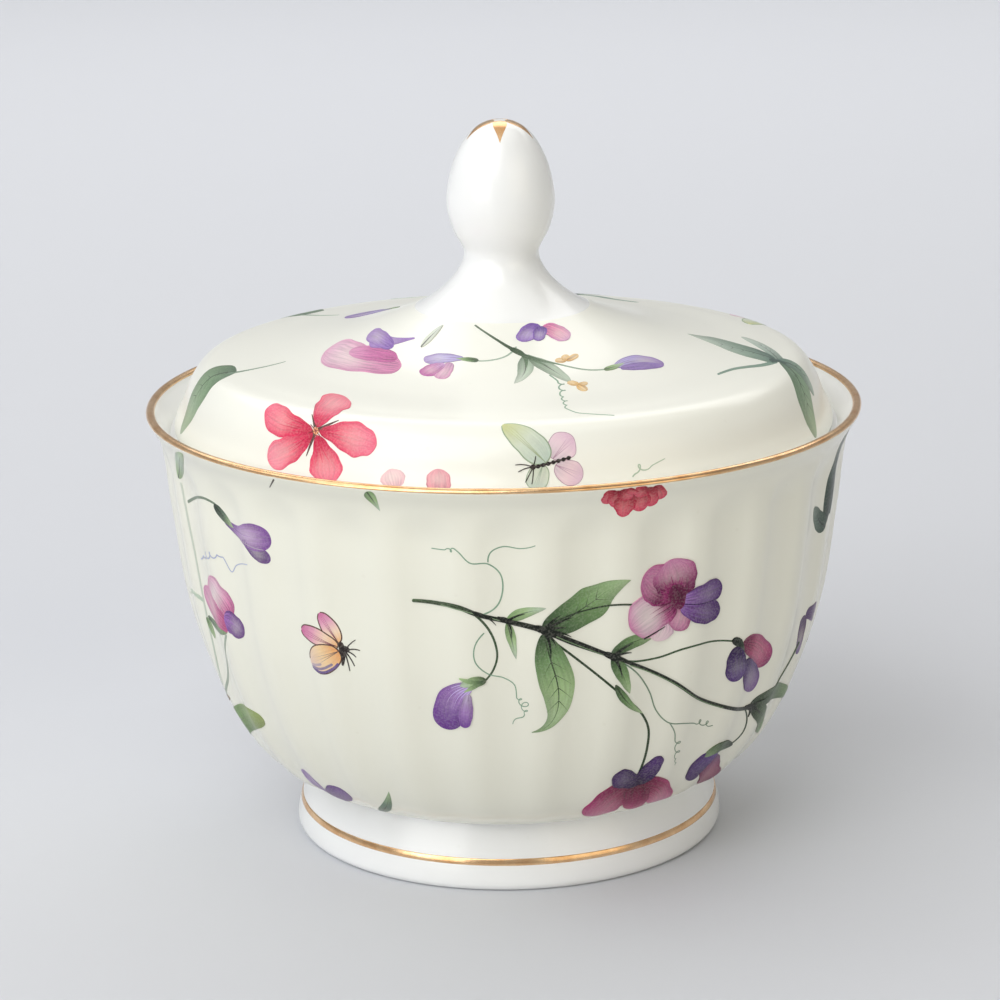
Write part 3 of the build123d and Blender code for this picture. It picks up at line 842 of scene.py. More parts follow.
    # open flower: a heart-shaped standard, a pale lower petal and violet wings
    art.lift = ground
    deep, pink, blush = (96, 8, 60), (172, 62, 124), (236, 204, 218)
    art.petal([(23.4, 43.6), (22.8, 41.8), (22.2, 40.3)], [1.4, 2.3, 1.6],
              ((228, 180, 206), (230, 178, 206)), cover=(0.9, 0.6))
    art.petal([(25.5, 46.6), (26.1, 44), (25.2, 41.6)], [0.7, 2.0, 1.9, 0.9],
              ((126, 24, 82), (182, 78, 136), (212, 140, 180)))
    art.petal([(25.4, 46.4), (21.6, 44.8), (17.9, 43.1)], [0.9, 3.0, 3.3, 2.3],
              (deep, pink, (228, 184, 206), blush, (228, 164, 200)), rim=(204, 96, 158), pale=0.5)
    art.petal([(25.4, 46.8), (22.6, 49.2), (20.2, 51)], [1.2, 3.0, 3.0, 2.1],
              ((90, 6, 54), (132, 30, 90), (190, 92, 146), (216, 150, 186)), rim=(178, 66, 134), pale=0.2)
    art.petal([(25.4, 46.8), (25.2, 49.8), (24.4, 52.6)], [1.4, 3.3, 3.4, 2.3],
              ((86, 4, 52), (128, 28, 88), (190, 96, 148), (218, 158, 190)), rim=(178, 70, 138),
              rim_share=0.4, pale=0.25)
    root = np.array([25.5, 46.7])
    for degrees in range(56, 202, 6):
        out = heading(degrees)
        reach = grains.uniform(2.2, 3.6) * (1.05 if degrees < 146 else 0.9)
        art.blade([root + out * 0.2, root + out * reach * 0.5, root + out * reach], [0.26, 0.16, 0.012],
                  [deep, (126, 26, 84), (166, 62, 120)], layer=LAYER / 4)
    art.petal([(26.2, 45.3), (30, 43.8), (33.6, 43.3)], [0.4, 1.7, 1.9, 1.2],
              ((140, 95, 168), (100, 53, 134), (80, 37, 110)), rim=(66, 27, 96), pale=0.1)
    art.petal([(26.4, 46.2), (30, 46.4), (33.9, 46.9)], [0.4, 1.5, 1.8, 1.2],
              ((158, 115, 184), (112, 65, 146), (92, 47, 124)), rim=(68, 29, 98), pale=0.15)
    art.stroke([(26.2, 45.7), (29.8, 45.1), (33.2, 45.2)], 0.08, (52, 17, 76), 0.04)
    art.petal([(24.8, 48.6), (25.7, 47), (25.9, 44.8)], [0.4, 1.3, 1.0, 0.3],
              ((112, 18, 74), (84, 4, 50), (104, 16, 68)), pale=0)
    art.stroke([(20.2, 41), (22, 41.6), (23.8, 42.4)], 0.12, STEM, 0.04)
    # half-open flower on the right
    art.lift = ground
    art.petal([(38.2, 36.6), (42, 34.8), (45.4, 31)], [0.4, 2.0, 2.3, 1.6],
              ((110, 20, 66), (190, 60, 112), (206, 84, 134), (180, 52, 104)), rim=(112, 40, 104),
              rim_share=0.8, pale=0.1)
    art.petal([(38.8, 33.4), (41, 30.2), (42.2, 26.8)], [0.5, 1.8, 2.1, 1.5],
              ((60, 25, 90), (96, 55, 132), (148, 109, 174)), rim=(84, 43, 118), pale=0.2)
    art.petal([(37.3, 36.4), (37.2, 33.2), (37.9, 30.4)], [0.3, 1.7, 2.1, 1.6],
              ((46, 17, 74), (68, 33, 108), (104, 69, 146)), rim=(62, 27, 96), pale=0.15)
    art.leaf([(36.2, 37.6), (37.5, 36.9), (38.4, 35.4)], [0.3, 0.7, 0.35, 0.05],
             ((30, 38, 30), (40, 56, 42)))
    # bud on the lower right
    art.lift = ground
    art.petal([(34.4, 16), (34.6, 11.6), (36.2, 6.8)], [1.0, 2.6, 2.9, 2.2],
              ((100, 40, 104), (160, 44, 104), (146, 32, 88)), rim=(92, 22, 80), pale=0.1)
    art.petal([(35.2, 16.8), (31.6, 14.6), (30, 11)], [0.5, 1.5, 1.5, 0.6],
              ((104, 65, 148), (80, 41, 120), (64, 27, 94)), rim=(58, 21, 88), pale=0.05)
    art.leaf([(39.4, 16.2), (37, 17.2), (34.6, 17.4), (32.2, 16.4)], [0.1, 1.0, 1.0, 0.05],
             ((40, 54, 38), (76, 100, 68), LEAF_MID))
    # open flower low on the front
    art.lift = ground
    art.petal([(20.4, 13.4), (22.9, 11.4), (24.4, 8), (24.2, 5.4)], [0.9, 2.9, 2.7, 1.5],
              ((110, 0, 56), (168, 22, 96), (198, 66, 134), (216, 130, 178)), rim=(170, 36, 110), pale=0.15)
    art.petal([(19.4, 13.4), (16.6, 11.8), (14.2, 8.4), (13.4, 5.4)], [0.9, 3.0, 3.1, 2.0],
              ((104, 0, 52), (156, 16, 88), (188, 50, 122), (206, 100, 156)), rim=(162, 30, 104), pale=0.15)
    art.petal([(19.8, 13.6), (19.7, 9.6), (19.4, 5.6)], [1.2, 2.3, 1.9, 1.0],
              ((100, 0, 48), (148, 14, 84), (184, 50, 122)), rim=(150, 20, 90), rim_share=0.3, pale=0)
    art.petal([(20, 13.8), (21.8, 16.6), (23.6, 19.4)], [0.5, 1.4, 1.3, 0.4],
              ((42, 11, 60), (72, 33, 106), (102, 63, 140)), pale=0.05)
    art.petal([(20.1, 13.8), (17.8, 15.5), (15.6, 16.7)], [0.6, 1.8, 2.0, 1.5],
              ((42, 11, 60), (66, 29, 98), (84, 45, 120)), pale=0.1)


def hanging_bud(art):
    """Violet bud on a grey-green stalk, high on the left."""
    art.stroke([(-15, 55.2), (-10, 57.2), (-6.4, 57.9), (-4, 57.4)], 0.2, (122, 138, 118), 0.16)
    art.petal([(2.4, 53.4), (5.6, 52), (7.9, 51.4)], [0.2, 0.9, 1.2, 0.9],
              (VIOLET, (106, 61, 134), VIOLET_DARK))
    art.petal([(-2.4, 55.2), (1.6, 54.3), (5.4, 54.4), (8.4, 54.6)], [0.4, 1.0, 2.0, 1.9],
              ((120, 85, 148), (184, 143, 204), (164, 117, 184), (136, 87, 162)), rim=(120, 73, 150),
              pale=0.3)
    art.stroke([(-0.6, 54), (3, 53), (6.8, 52.7)], 0.07, VIOLET_DARK, 0.04, cover=(0.7, 0.5))
    art.leaf([(-4.4, 57.4), (-2.6, 55.9), (-0.2, 54.6)], [0.3, 0.8, 0.6, 0.03],
             ((40, 56, 46), (96, 116, 96), LEAF_LIGHT))


def pink_bud_vine(art):
    """Thin vine with a pink and violet flower seen from the side, and a long leaf below it."""
    pale = (176, 190, 172)
    art.stroke([(-16.4, 58), (-15.6, 52), (-14.8, 45), (-14.4, 38), (-14.8, 31), (-16.6, 24)], 0.26, pale,
               0.2, cover=(0.6, 0.9))
    art.stroke([(-6.2, 36.2), (-9.4, 31.6), (-13, 26.4), (-17.6, 21.6)], 0.2, (158, 172, 154), 0.24)
    art.stroke([(-26, 37.2), (-20, 39.6), (-14.6, 39.4)], 0.3, (160, 186, 160), 0.3, cover=(0.4, 0.8))
    art.stroke([(-12.8, 46.6), *coil((-12.4, 46.8), (-4, 49.2), 0.7, 4), (-2.4, 47.2), (-0.8, 48.6),
                (2.8, 49.6)], 0.1, (164, 172, 204), 0.05)
    art.leaf([(-16.8, 58.6), (-13.2, 62.4), (-9, 65)], [0.2, 1.2, 1.0, 0.1], (LEAF_LIGHT, HAZE, LEAF_LIGHT))
    art.petal([(-5, 38), (-7.6, 41), (-10.8, 43.8)], [2.4, 4.2, 4.0, 3.0],
              ((204, 92, 148), (222, 138, 180), (240, 206, 220), (220, 150, 188)), rim=(210, 122, 170),
              pale=0.5)
    art.petal([(-5.2, 37.6), (-9.4, 39.2), (-13.4, 42)], [1.4, 2.3, 2.2, 1.2],
              ((198, 82, 140), (214, 120, 166), (228, 168, 198)), rim=(200, 108, 160))
    art.petal([(-5.8, 39), (-3.8, 38.4), (-1.8, 37)], [0.9, 2.0, 1.9, 1.1],
              ((160, 105, 188), (128, 75, 154), (104, 57, 132)), rim=(100, 55, 128))
    art.leaf([(-13.8, 37), (-10, 36.2), (-5.8, 36.6)], [0.3, 0.7, 0.6, 0.03], ((96, 118, 92), LEAF_MID))
    art.leaf([(-14.6, 36.6), (-13.6, 35), (-13.2, 33.4)], [0.3, 0.8, 0.05], (LEAF_MID, LEAF_LIGHT))
    art.leaf([(-27, 10.8), (-20, 14.4), (-11.6, 19.4), (-3.4, 21.8)], [0.05, 1.6, 2.6, 2.3, 0.4],
             ((52, 88, 36), (84, 130, 44), (104, 146, 48), (150, 170, 62)))
    art.blade([(-18.8, 20.8), (-17.2, 21.3), (-15.8, 21.8)], [0.2, 0.6, 0.2], [(138, 122, 104)])


def violet_pair(art):
    """Violet petals that rise from the foot."""
    art.petal([(-0.8, 5.4), (-0.6, 9), (-0.8, 13)], [1.0, 2.1, 1.9, 0.9],
              ((112, 73, 146), (144, 107, 176), (172, 141, 194)), rim=(120, 81, 154), pale=0.1)
    art.petal([(0.8, 5.2), (3.6, 8), (6, 10.8)], [1.0, 1.9, 2.0, 1.3],
              ((80, 39, 110), (106, 65, 142), (128, 89, 158)), rim=(82, 41, 114), pale=0.1)
    art.petal([(-1, 4.4), (1.2, 5.6), (3.6, 6.4)], [0.8, 1.3, 0.9], ((88, 47, 120), (108, 67, 144)), pale=0)


def small_leaves(art):
    """One leaf by the foot, and the tips of two more under the lip."""
    art.leaf([(-20.4, 4.6), (-19.2, 8.4), (-18.6, 13)], [0.5, 1.0, 0.6, 0.03],
             ((62, 88, 74), (104, 132, 112), LEAF_LIGHT))
    art.leaf([(-19.6, 65.4), (-18.8, 63.8), (-17.8, 61.8)], [0.8, 0.8, 0.4, 0.03],
             ((134, 164, 116), LEAF_LIGHT, HAZE))
    art.stroke([(-34.9, 65.4), (-36, 63.4)], 0.13, (92, 84, 78), 0.06)


def butterfly(art):
    """Butterfly with pink upper wings and a banded orange lower wing."""
    brown = (92, 62, 50)
    art.wing([(-25.4, 40.2), (-26.8, 42.6), (-28.3, 44.7)], [0.25, 1.3, 1.2, 0.35],
             (AMBER, (246, 216, 186), (226, 152, 184), (200, 92, 150)), brown, 0.09)
    art.wing([(-25.5, 39.6), (-29, 40.8), (-32.1, 41.3)], [0.25, 1.2, 1.3, 0.5],
             (AMBER, (246, 212, 180), (222, 140, 176), (196, 86, 146)), brown, 0.09)
    low = art.wing([(-25.4, 38.9), (-27.8, 37.4), (-30.4, 36.2)], [0.3, 2.1, 2.3, 1.3],
                   ((236, 156, 70), (244, 206, 148), (226, 200, 186)), brown, 0.09)
    for share, ink, begin in ((0.94, (112, 93, 142), 0.3), (0.8, (148, 134, 158), 0.42),
                              (0.64, (190, 172, 180), 0.6)):
        band = low[1] * share + low[0] * (1 - share)
        art.stroke(band[int(len(band) * begin) : -1 : 2], 0.17, ink)
    art.blade([(-25.2, 40.4), (-24.8, 38.8), (-24.9, 36.6)], [0.25, 0.5, 0.32, 0.15],
              [(60, 44, 38), (40, 32, 32)], veins=0.9)
    art.blade([(-25.1, 39.2), (-24.4, 39.3), (-23.7, 39.2)], [0.4, 0.55, 0.25], [(44, 36, 34)], veins=0.9)
    for tip in ((-22.7, 41), (-22, 39.4), (-22.7, 38.2), (-23, 36.7), (-23.8, 35.8)):
        art.stroke(bent((-24.5, 39), tip, up=0.25), 0.09, INK, 0.05)


def rim_rose(art):
    """A rose that the lip cuts through, so that only its lower petals show."""
    tones = ((140, 8, 38), (204, 30, 64), (232, 88, 116))
    for path, widths in (
        ([(15.8, 65.3), (14.8, 64.2), (13.8, 63)], [1.0, 1.1, 0.5]),
        ([(21.2, 65.3), (22.1, 63.9), (22.3, 62.6)], [1.0, 1.3, 0.9]),
        ([(20.2, 65.3), (20.8, 63.2), (20.8, 61.6)], [1.1, 1.4, 0.9]),
        ([(16.4, 65.3), (15.8, 63.6), (15.2, 62.2)], [1.2, 1.4, 0.7]),
        ([(18.8, 64.6), (19.2, 62.6), (19.4, 61)], [1.4, 1.7, 0.9]),
        ([(17.4, 64.6), (17, 62.4), (16.7, 60.4)], [1.3, 1.6, 0.6]),
        ([(16.4, 65.4), (17.2, 64.4), (18.2, 63.8)], [1.0, 1.2, 0.7]),
        ([(20.4, 65.4), (19.4, 64.6), (18.6, 63.8)], [1.1, 1.2, 0.8]),
        ([(18.4, 65.4), (18.2, 65), (18.2, 64.4)], [1.0, 1.1, 0.7]),
    ):
        art.petal(path, widths, tones, rim=(176, 36, 66), veins=0.7, ruffle=0.14, rim_share=0.5, pale=0.15)


def edge_cluster(art):
    """Dark leaf under the lip and a violet flower, at the end of the long branch."""
    art.leaf([(19, 49.6), (19.6, 54), (21.4, 59), (24.6, 64)], [0.2, 1.7, 2.1, 1.6, 0.4],
             ((40, 62, 50), (46, 70, 58), (66, 92, 78)))
    art.leaf([(19.2, 49.2), (16.6, 51), (14.2, 53.6)], [0.3, 1.5, 1.3, 0.1],
             ((54, 78, 64), (76, 100, 84), (84, 110, 92)))
    art.stroke([(20.6, 51), (24, 58), (29, 64.4)], 0.3, (52, 72, 60), 0.35)
    art.petal([(15.9, 35.6), (16.4, 32), (16.9, 28.6)], [0.8, 1.1, 0.9, 0.4],
              (VIOLET_DARK, (112, 84, 116), (140, 115, 172)))
    art.petal([(16.6, 35.8), (21.6, 34.6), (27, 32.4)], [0.8, 1.5, 1.5, 0.8],
              (VIOLET_DARK, (120, 87, 138), (146, 123, 180)))


def lid_flower(art):
    """Open coral flower with five petals."""
    centre = np.array((-28.4, 8.4))
    for sepal in ((-29.4, 11), (-24.6, 10.6), (-30, 4.6), (-31.8, 7.2)):
        art.stroke(bent(centre, sepal), 0.26, (92, 58, 54), 0.05)
    for tip, size, tones in (
        ((-37.4, 3.0), 2.2, (CORAL_DARK, CORAL, (250, 180, 192))),
        ((-26.2, 1), 2.7, (CORAL_DARK, (236, 66, 104), CORAL_LIGHT)),
        ((-38.8, 9.8), 2.4, (CORAL_DARK, (234, 54, 96), (244, 124, 148))),
        ((-18.4, 7.4), 2.6, (CORAL_DARK, (238, 78, 112), (244, 132, 156))),
        ((-24.6, 18), 2.9, ((214, 44, 86), (242, 106, 134), (248, 160, 172))),
    ):
        tip = np.array(tip)
        out = (tip - centre) / np.linalg.norm(tip - centre)
        bow = np.array([-out[1], out[0]]) * 0.35
        art.petal([centre + out * 0.7, (centre + tip) / 2 + bow, tip], [0.35, size * 0.7, size, size * 0.5],
                  tones, rim=(232, 60, 102), veins=0.55, ruffle=0.12, pale=0.25)
        for lean in (-1.2, 0, 1.2):
            heart = centre + out * 4.6 + bow * lean * 3
            art.blade([centre + out * 0.6, centre + out * 2.4 + bow * lean, heart], [0.12, 0.1, 0.02],
                      [CORAL_DARK, tones[1]])
    art.blade([centre - (0.5, 0), centre, centre + (0.5, 0)], [0.4, 0.55, 0.4], [(240, 170, 120)])
    for angle in range(20, 380, 60):
        art.stroke(bent(centre, centre + 1.3 * heading(angle)), 0.05, (140, 60, 60), 0.05)


def lid_pea(art):
    """Large pink sweet pea with violet wings."""
    art.petal([(-16, 31.2), (-22, 30.6), (-29, 29.9), (-35.6, 28.8)], [2.2, 3.5, 3.7, 2.0],
              ((222, 138, 182), (228, 156, 194), (238, 192, 214), (240, 212, 224)), rim=(224, 138, 186),
              pale=0.45)
    art.petal([(-17, 33), (-22.4, 32.6), (-28.6, 31.2)], [0.9, 1.9, 1.7, 0.5],
              ((202, 92, 158), (214, 122, 176), (232, 172, 204)), rim_share=0.2, pale=0)
    art.petal([(-14.6, 38.8), (-18.6, 37), (-22, 35.8), (-25, 35)], [0.15, 0.7, 1.5, 1.2],
              ((154, 119, 188), (170, 135, 202), (180, 145, 206)), rim=(132, 93, 176))
    art.petal([(-18.6, 35.4), (-23, 36.4), (-27.4, 36)], [0.8, 1.7, 1.7, 1.0],
              ((138, 99, 182), (166, 129, 200), (192, 163, 214)), rim=(136, 99, 178))


def lid_sprig(art):
    """Light sprig beside the finial: buds on thin stalks, two pale leaves, a tendril and a flower."""
    art.stroke([(2, 38.2), (0.4, 35.6), (-1.8, 34.5), (-3.8, 34.3)], 0.13, (160, 180, 160))
    art.stroke([(3.6, 35.8), (8.6, 32.3), (12.8, 29.8), (16, 29.1)], 0.14, (140, 162, 138))
    art.stroke([(6.8, 29.4), (8, 27), *coil((8, 26.8), (8.2, 22.4), 0.8, 2),
                *coil((8.2, 22), (8.8, 16.6), 0.5, 3), (10.4, 14.6), (12.2, 13.8), (16, 12.4)], 0.11,
                TENDRIL, 0.06)
    art.leaf([(3, 35.4), (3.2, 31), (1.6, 27)], [0.2, 1.2, 0.9, 0.05],
             ((150, 172, 148), HAZE, (212, 222, 208)))
    art.leaf([(3.8, 35.2), (7.2, 31), (10, 26.2)], [0.2, 1.2, 1.0, 0.05],
             ((120, 146, 120), (180, 198, 174), HAZE))
    art.blade([(-4.2, 43.8), (-1.6, 41), (1, 38), (3, 36)], [0.16, 0.2, 0.28, 0.5],
              [(130, 150, 126), (84, 106, 80), (50, 70, 48)], veins=0.7)
    for tip in ((3.4, 32), (6.6, 32.2), (8.6, 32.3)):
        art.blade([(1.2, 37.8), (3, 35.8), tip], [0.4, 0.36, 0.03], [(56, 78, 54), (110, 136, 106)],
                  layer=LAYER / 2)
    for root, tips in (((9.6, 33.2), ((7.8, 33.8), (9.4, 35), (11.6, 34.6))),
                       ((11, 25), ((9.6, 26.6), (12.6, 25.4), (12.2, 22.6)))):
        for tip in tips:
            art.petal(bent(root, tip), [0.3, 0.7, 0.4], ((238, 190, 104), (240, 204, 140), (238, 216, 168)),
                      pale=0.2)
    art.petal([(-7.8, 33.4), (-8.8, 30.4), (-9.6, 28.2)], [0.4, 1.0, 1.2, 0.8],
              ((214, 170, 204), (222, 160, 194), (226, 172, 202)), rim=(206, 140, 182))
    art.petal([(-8.8, 33), (-11, 30.6), (-11.9, 28.8)], [0.4, 1.1, 1.4, 1.0],
              ((206, 160, 206), (214, 126, 184), (196, 92, 164)), rim=(184, 92, 164))
    art.petal([(-5.8, 34.8), (-9.6, 34.4), (-12, 33)], [0.4, 1.1, 1.3, 0.9],
              ((190, 181, 228), (186, 173, 228), (178, 155, 204)), rim=(168, 145, 198))
    art.leaf([(-3.6, 34.3), (-5.2, 34.6), (-7, 34.6)], [0.4, 0.6, 0.4, 0.03],
             ((70, 92, 74), LEAF_MID, LEAF_LIGHT))
    art.petal([(17.6, 29.3), (21, 30), (24.4, 28.6), (27.2, 26.2)], [0.6, 1.4, 1.4, 0.6],
              ((190, 181, 226), (178, 165, 222), (172, 147, 198), (164, 137, 192)), rim=(120, 87, 168))
    art.petal([(18.6, 28.6), (22, 28), (26.6, 26.4)], [0.4, 1.0, 1.0, 0.4],
              ((158, 131, 196), (140, 109, 184), (132, 99, 176)), pale=0.1)
    art.leaf([(15.6, 29.1), (17.4, 29.3), (19.6, 29.8)], [0.3, 0.7, 0.5, 0.03],
             (LEAF_MID, LEAF_LIGHT, HAZE))
    art.petal([(6.2, 43), (8.6, 41), (10.2, 38.8)], [0.7, 1.5, 1.5, 0.9],
              ((222, 116, 170), (234, 140, 178), (240, 190, 210)), rim=(186, 128, 188))
    art.petal([(5.6, 43.4), (3.8, 41.4), (3.4, 39.4)], [0.7, 1.6, 1.6, 1.1],
              ((122, 79, 174), (146, 107, 192), (180, 149, 214)), rim=(118, 79, 172))
    art.petal([(6, 43), (5.6, 41), (5.4, 39.4)], [0.5, 1.1, 1.0, 0.6],
              ((104, 61, 158), (132, 91, 182), (164, 131, 204)))
    art.leaf([(-13, 36.8), (-11.4, 40), (-9.6, 43)], [0.1, 0.6, 0.5, 0.03], (HAZE, (214, 224, 212)),
             cover=(0.4, 0.8))


def lid_leaves(art):
    """Spray of large pale leaves by the edge."""
    blue, mist = (86, 116, 104), (188, 206, 192)
    art.leaf([(57.6, 14), (60.4, 16.4), (62.6, 19.4)], [0.3, 1.9, 1.9, 0.3],
             ((126, 152, 134), mist, (204, 216, 204)))
    art.stroke([(37.4, 18.8), (42, 18.4), (46, 17.2), (50.6, 15.6), (56.4, 14.2)], 0.22, (126, 152, 136),
               0.34)
    art.leaf([(57, 14.4), (52.6, 19.8), (45, 28.4)], [0.3, 2.4, 2.6, 1.4, 0.05],
             (blue, (142, 168, 148), (178, 196, 180), (198, 210, 196)))
    art.leaf([(57, 13.8), (57.6, 8.6), (58.6, 0.8)], [0.4, 2.5, 3.1, 2.2, 0.3],
             ((92, 120, 98), (138, 168, 136), (162, 188, 154), (176, 198, 164)), rib=0.12)
    art.leaf([(57.4, 13.6), (60.4, 10.6), (62.6, 6)], [0.3, 1.5, 1.3, 0.05], (blue, (140, 166, 146), mist))
    art.stroke([(54.6, 15), (56.8, 14.2), (58, 12.6)], 0.4, (58, 82, 74), 0.3)


def lid_side_leaf(art):
    """Large leaf by the edge, with its stalk."""
    art.leaf([(-53, 14.6), (-58.6, 11.2), (-63.4, 5.4), (-66, 1)], [0.2, 2.4, 3.2, 2.4, 0.2],
             ((92, 122, 96), (128, 158, 122), (156, 182, 146), (176, 198, 166)), rib=0.12)
    art.stroke([(-55, 13.4), (-50.6, 16.2), (-43.4, 22.4)], 0.18, (126, 150, 128), 0.06)


def lid_butterfly(art):
    """Pale butterfly with a striped body."""
    green, blush = (150, 170, 140), (178, 140, 160)
    art.wing([(6.8, 5.9), (8.2, 7.6), (9.8, 8.8)], [0.4, 1.9, 2.1, 1.5],
             ((214, 196, 206), (236, 206, 218), (222, 184, 206)), blush, 0.04)
    art.wing([(7.2, 5), (9.2, 3.8), (11, 3)], [0.4, 1.5, 1.7, 1.1],
             ((214, 196, 206), (236, 202, 212), (218, 184, 204)), blush, 0.04)
    art.wing([(5.4, 5.2), (4.6, 3.2), (4.2, 1.6)], [0.4, 1.4, 1.5, 0.9],
             ((196, 208, 186), (206, 214, 196), (188, 202, 190)), green, 0.05)
    art.wing([(5.8, 5.4), (3.8, 8), (-0.2, 11.5)], [0.4, 2.0, 1.7, 0.15],
             ((184, 204, 190), (206, 218, 196), (196, 200, 130)), green, 0.08)
    art.stroke([(4, 4.8), (6.4, 5.3), (9.4, 6)], 0.16, (60, 48, 50), 0.1)
    for k in range(7):
        x = 4.4 + 0.72 * k
        art.blade([(x, 4.85 + 0.16 * k), (x + 0.62, 4.98 + 0.16 * k)], [0.26, 0.3, 0.24], [(40, 32, 34)],
                  veins=0.8)
    art.blade([(3.6, 4.8), (4.4, 4.9)], [0.25, 0.38, 0.3], [INK])
    for tip in ((1.5, 5.2), (1.9, 4.2), (2.9, 2.7), (3.8, 2.4), (4.4, 6.4)):
        art.stroke(bent((4, 4.8), tip, right=0.1, up=0.2), 0.07, INK, 0.05)


def lid_petals(art):
    """Two fallen petals by the edge, and a faint tendril."""
    art.petal([(-15.6, 1.4), (-16, 3), (-16.4, 4.2)], [1.2, 1.9, 1.2], ((238, 190, 196), (246, 214, 214)),
              veins=0.5)
    art.petal([(-9.3, 1), (-9.3, 3), (-9.4, 4.6)], [1.1, 1.8, 1.2], ((228, 140, 154), (240, 178, 186)),
              veins=0.6)
    art.stroke([(18.4, 2.4), *coil((18.8, 2.8), (21.6, 3.4), 0.8, 1.5), (23.6, 4.4)], 0.09, (176, 196, 172),
               0.05)


def gold_drops():
    """Five gold drops that run down from the finial's tip."""
    art = Printing("finial_gold", BUD, 0)
    for k in range(5):
        art.turn = math.radians(72 * k)
        art.blade([(0, 35.6), (0, 33.6), (0, 30.4)], [0.4, 1.15, 0.85, 0.4, 0.03], [AMBER])
    art.finish(gold, "gilding", "finial_gilding")


gold_drops()

# Name, drawing, surface, turn from the front in degrees, and how much higher than drawn, if at all.
# The drawings share one random series, so their order matters.
PRINTS = (
    ("spray_front", pea_spray, BOWL, 0),
    ("bud_left", hanging_bud, BOWL, -50),
    ("vine_left", pink_bud_vine, BOWL, -50),
    ("violets_left", violet_pair, BOWL, -48),
    ("leaves_front", small_leaves, BOWL, 0),
    ("butterfly_front", butterfly, BOWL, 0),
    ("rose_front", rim_rose, BOWL, 0),
    ("cluster_right", edge_cluster, BOWL, 48),
    ("spray_back", pea_spray, BOWL, 176),
    ("bud_back", hanging_bud, BOWL, 134),
    ("vine_back", pink_bud_vine, BOWL, 122),
    ("violets_back", violet_pair, BOWL, 148),
    ("leaves_back", small_leaves, BOWL, 190),
    ("butterfly_back", butterfly, BOWL, 122, -14),
    ("rose_back", rim_rose, BOWL, 190),
    ("lid_flower", lid_flower, LID, 0),
    ("lid_pea", lid_pea, LID, 0),
    ("lid_sprig", lid_sprig, LID, 0),
    ("lid_leaves", lid_leaves, LID, 0),
    ("lid_leaf_left", lid_side_leaf, LID, 0),
    ("lid_butterfly", lid_butterfly, LID, 0),
    ("lid_petals", lid_petals, LID, 0),
    ("lid_flower_back", lid_flower, LID, 226),
    ("lid_sprig_back", lid_sprig, LID, 184),
    ("lid_leaves_back", lid_leaves, LID, 88),
    ("lid_butterfly_back", lid_butterfly, LID, 112, 3),
    ("lid_petals_back", lid_petals, LID, 222),
    ("lid_leaf_back", lid_side_leaf, LID, 302),
)
for name, drawing, surface, *placing in PRINTS:
    group = Printing("print_" + name, surface, *placing)
    drawing(group)
    group.finish()


# ---- Floor, light and camera ----


def build_stage():
    """A round pale floor that curves up into a backdrop far away on every side."""
    flat, bend, height, columns = 2.0, 1.2, 3.6, 96
    profile = [(0.6, 0.0), (flat, 0.0)]
    for tilt in np.linspace(0, math.pi / 2, 14)[1:]:
        profile.append((flat + bend * math.sin(tilt), bend - bend * math.cos(tilt)))
    profile.append((flat + bend, height))
    angles = np.linspace(0, 2 * math.pi, columns, endpoint=False)
    points = [(r * math.cos(a), r * math.sin(a), z) for r, z in profile for a in angles] + [(0, 0, 0)]
    faces = [(len(points) - 1, k, (k + 1) % columns) for k in range(columns)]
    for row in range(len(profile) - 1):
        faces += [face[::-1] for face in ring_faces(row * columns, (row + 1) * columns, columns)]
    mesh = bpy.data.meshes.new("floor")
    mesh.from_pydata(points, [], faces)
    mesh.shade_smooth()
    floor = bpy.data.objects.new("floor", mesh)
    bpy.context.scene.collection.objects.link(floor)
    material, _, shader = new_material("pale_floor")
    put(shader, Base_Color=colour(210, 212, 217), Roughness=0.85, Specular_IOR_Level=0.2)
    floor.data.materials.append(material)


def area_light(name, place, target, size, power, tint=(1, 1, 1)):
    """A rectangular lamp that faces its target."""
    light = bpy.data.lights.new(name, "AREA")
    light.shape = "RECTANGLE"
    light.size, light.size_y = size
    light.energy = power
    light.color = tint
    lamp = bpy.data.objects.new(name, light)
    lamp.location = place
    lamp.rotation_euler = (Vector(target) - Vector(place)).to_track_quat("-Z", "Y").to_euler()
    bpy.context.scene.collection.objects.link(lamp)


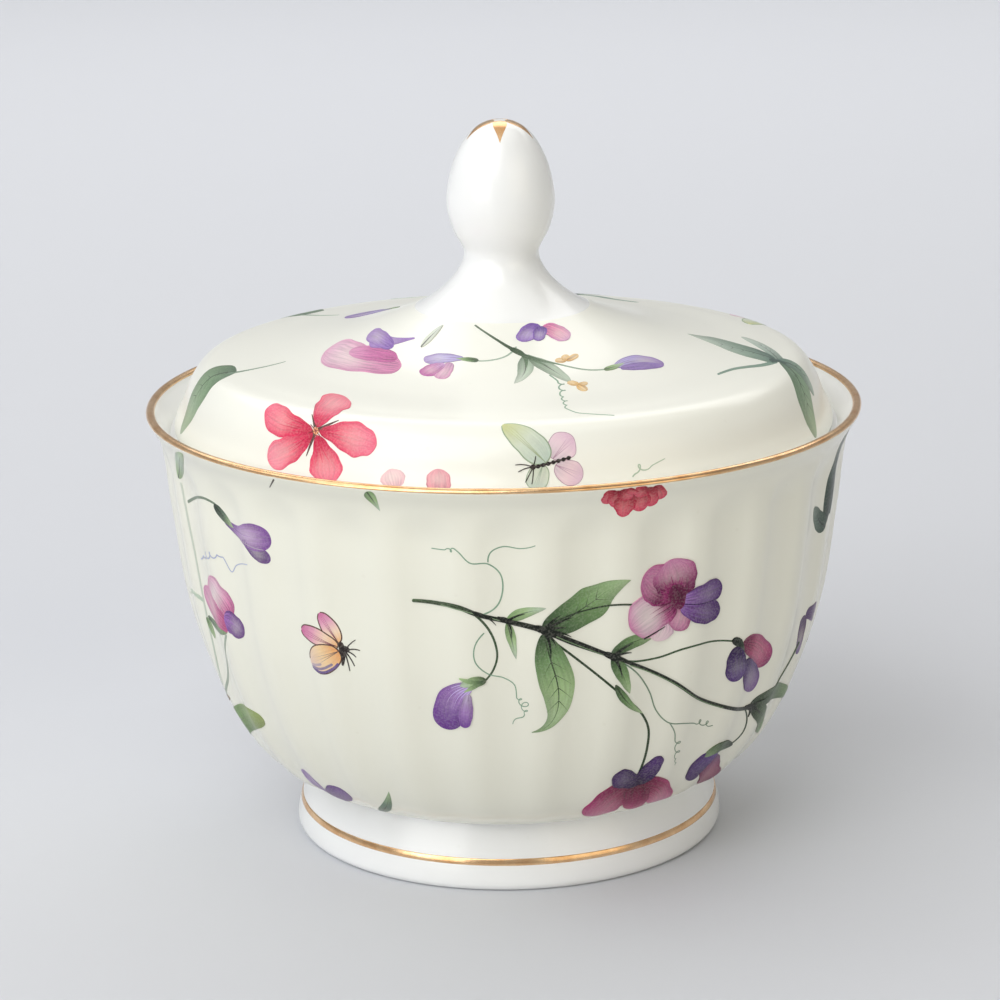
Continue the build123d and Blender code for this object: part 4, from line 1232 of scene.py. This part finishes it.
build_stage()
middle = (0, 0, 0.06)
# name, place, target, size, power in watts, and tint
area_light("window_low", (-0.8, -0.9, 0.45), middle, (0.8, 0.6), 4.1)
area_light("window_high", (-0.45, -0.9, 1.1), middle, (1.0, 1.0), 8.9, (0.99, 1.0, 1.0))
area_light("side", (-0.75, -0.1, 0.95), middle, (0.8, 0.8), 3.1)
area_light("overhead", (0.1, 0.1, 1.25), middle, (1.2, 1.2), 3.2)
area_light("behind", (0.0, 0.9, 0.9), middle, (1.8, 0.9), 0.8)
area_light("right_fill", (0.9, -1.0, 0.6), middle, (1.2, 0.9), 3.4, (1.0, 0.88, 0.62))
area_light("floor_behind", (0.0, 1.1, 1.1), (0, 1.4, 0), (2.4, 1.2), 16.0)
# lights on the backdrop that the other views look towards
for name, degrees in (("wash_front", -90), ("wash_left", 180), ("wash_right", 0)):
    out = Vector((*heading(degrees), 0))
    area_light(name, out * 1.7 + Vector((0, 0, 1.7)), out * 3.0 + Vector((0, 0, 0.6)), (2.2, 0.8), 9.0)

world = bpy.data.worlds.new("studio")
world.use_nodes = True
put(world.node_tree.nodes["Background"], Color=colour(240, 222, 182), Strength=0.07)
bpy.context.scene.world = world
bpy.context.scene.view_settings.view_transform = "Standard"


def build_camera():
    """From in front and 15.5 degrees down, with a slight roll."""
    pitch, roll = math.radians(15.55), math.radians(-0.79)
    distance, aim = 0.495, Vector((0, 0, 0.0518))
    forward = Vector((0, math.cos(pitch), -math.sin(pitch)))
    right = Vector((1, 0, 0))
    up = right.cross(forward)
    across = math.cos(roll) * right + math.sin(roll) * up
    upward = math.cos(roll) * up - math.sin(roll) * right
    data = bpy.data.cameras.new("camera")
    data.sensor_width = 36.0
    data.lens = 114.2
    data.shift_x = -0.00485
    camera = bpy.data.objects.new("camera", data)
    camera.matrix_world = Matrix.Translation(aim - forward * distance) @ Matrix(
        (across, upward, -forward)
    ).transposed().to_4x4()
    bpy.context.scene.collection.objects.link(camera)
    bpy.context.scene.camera = camera


build_camera()
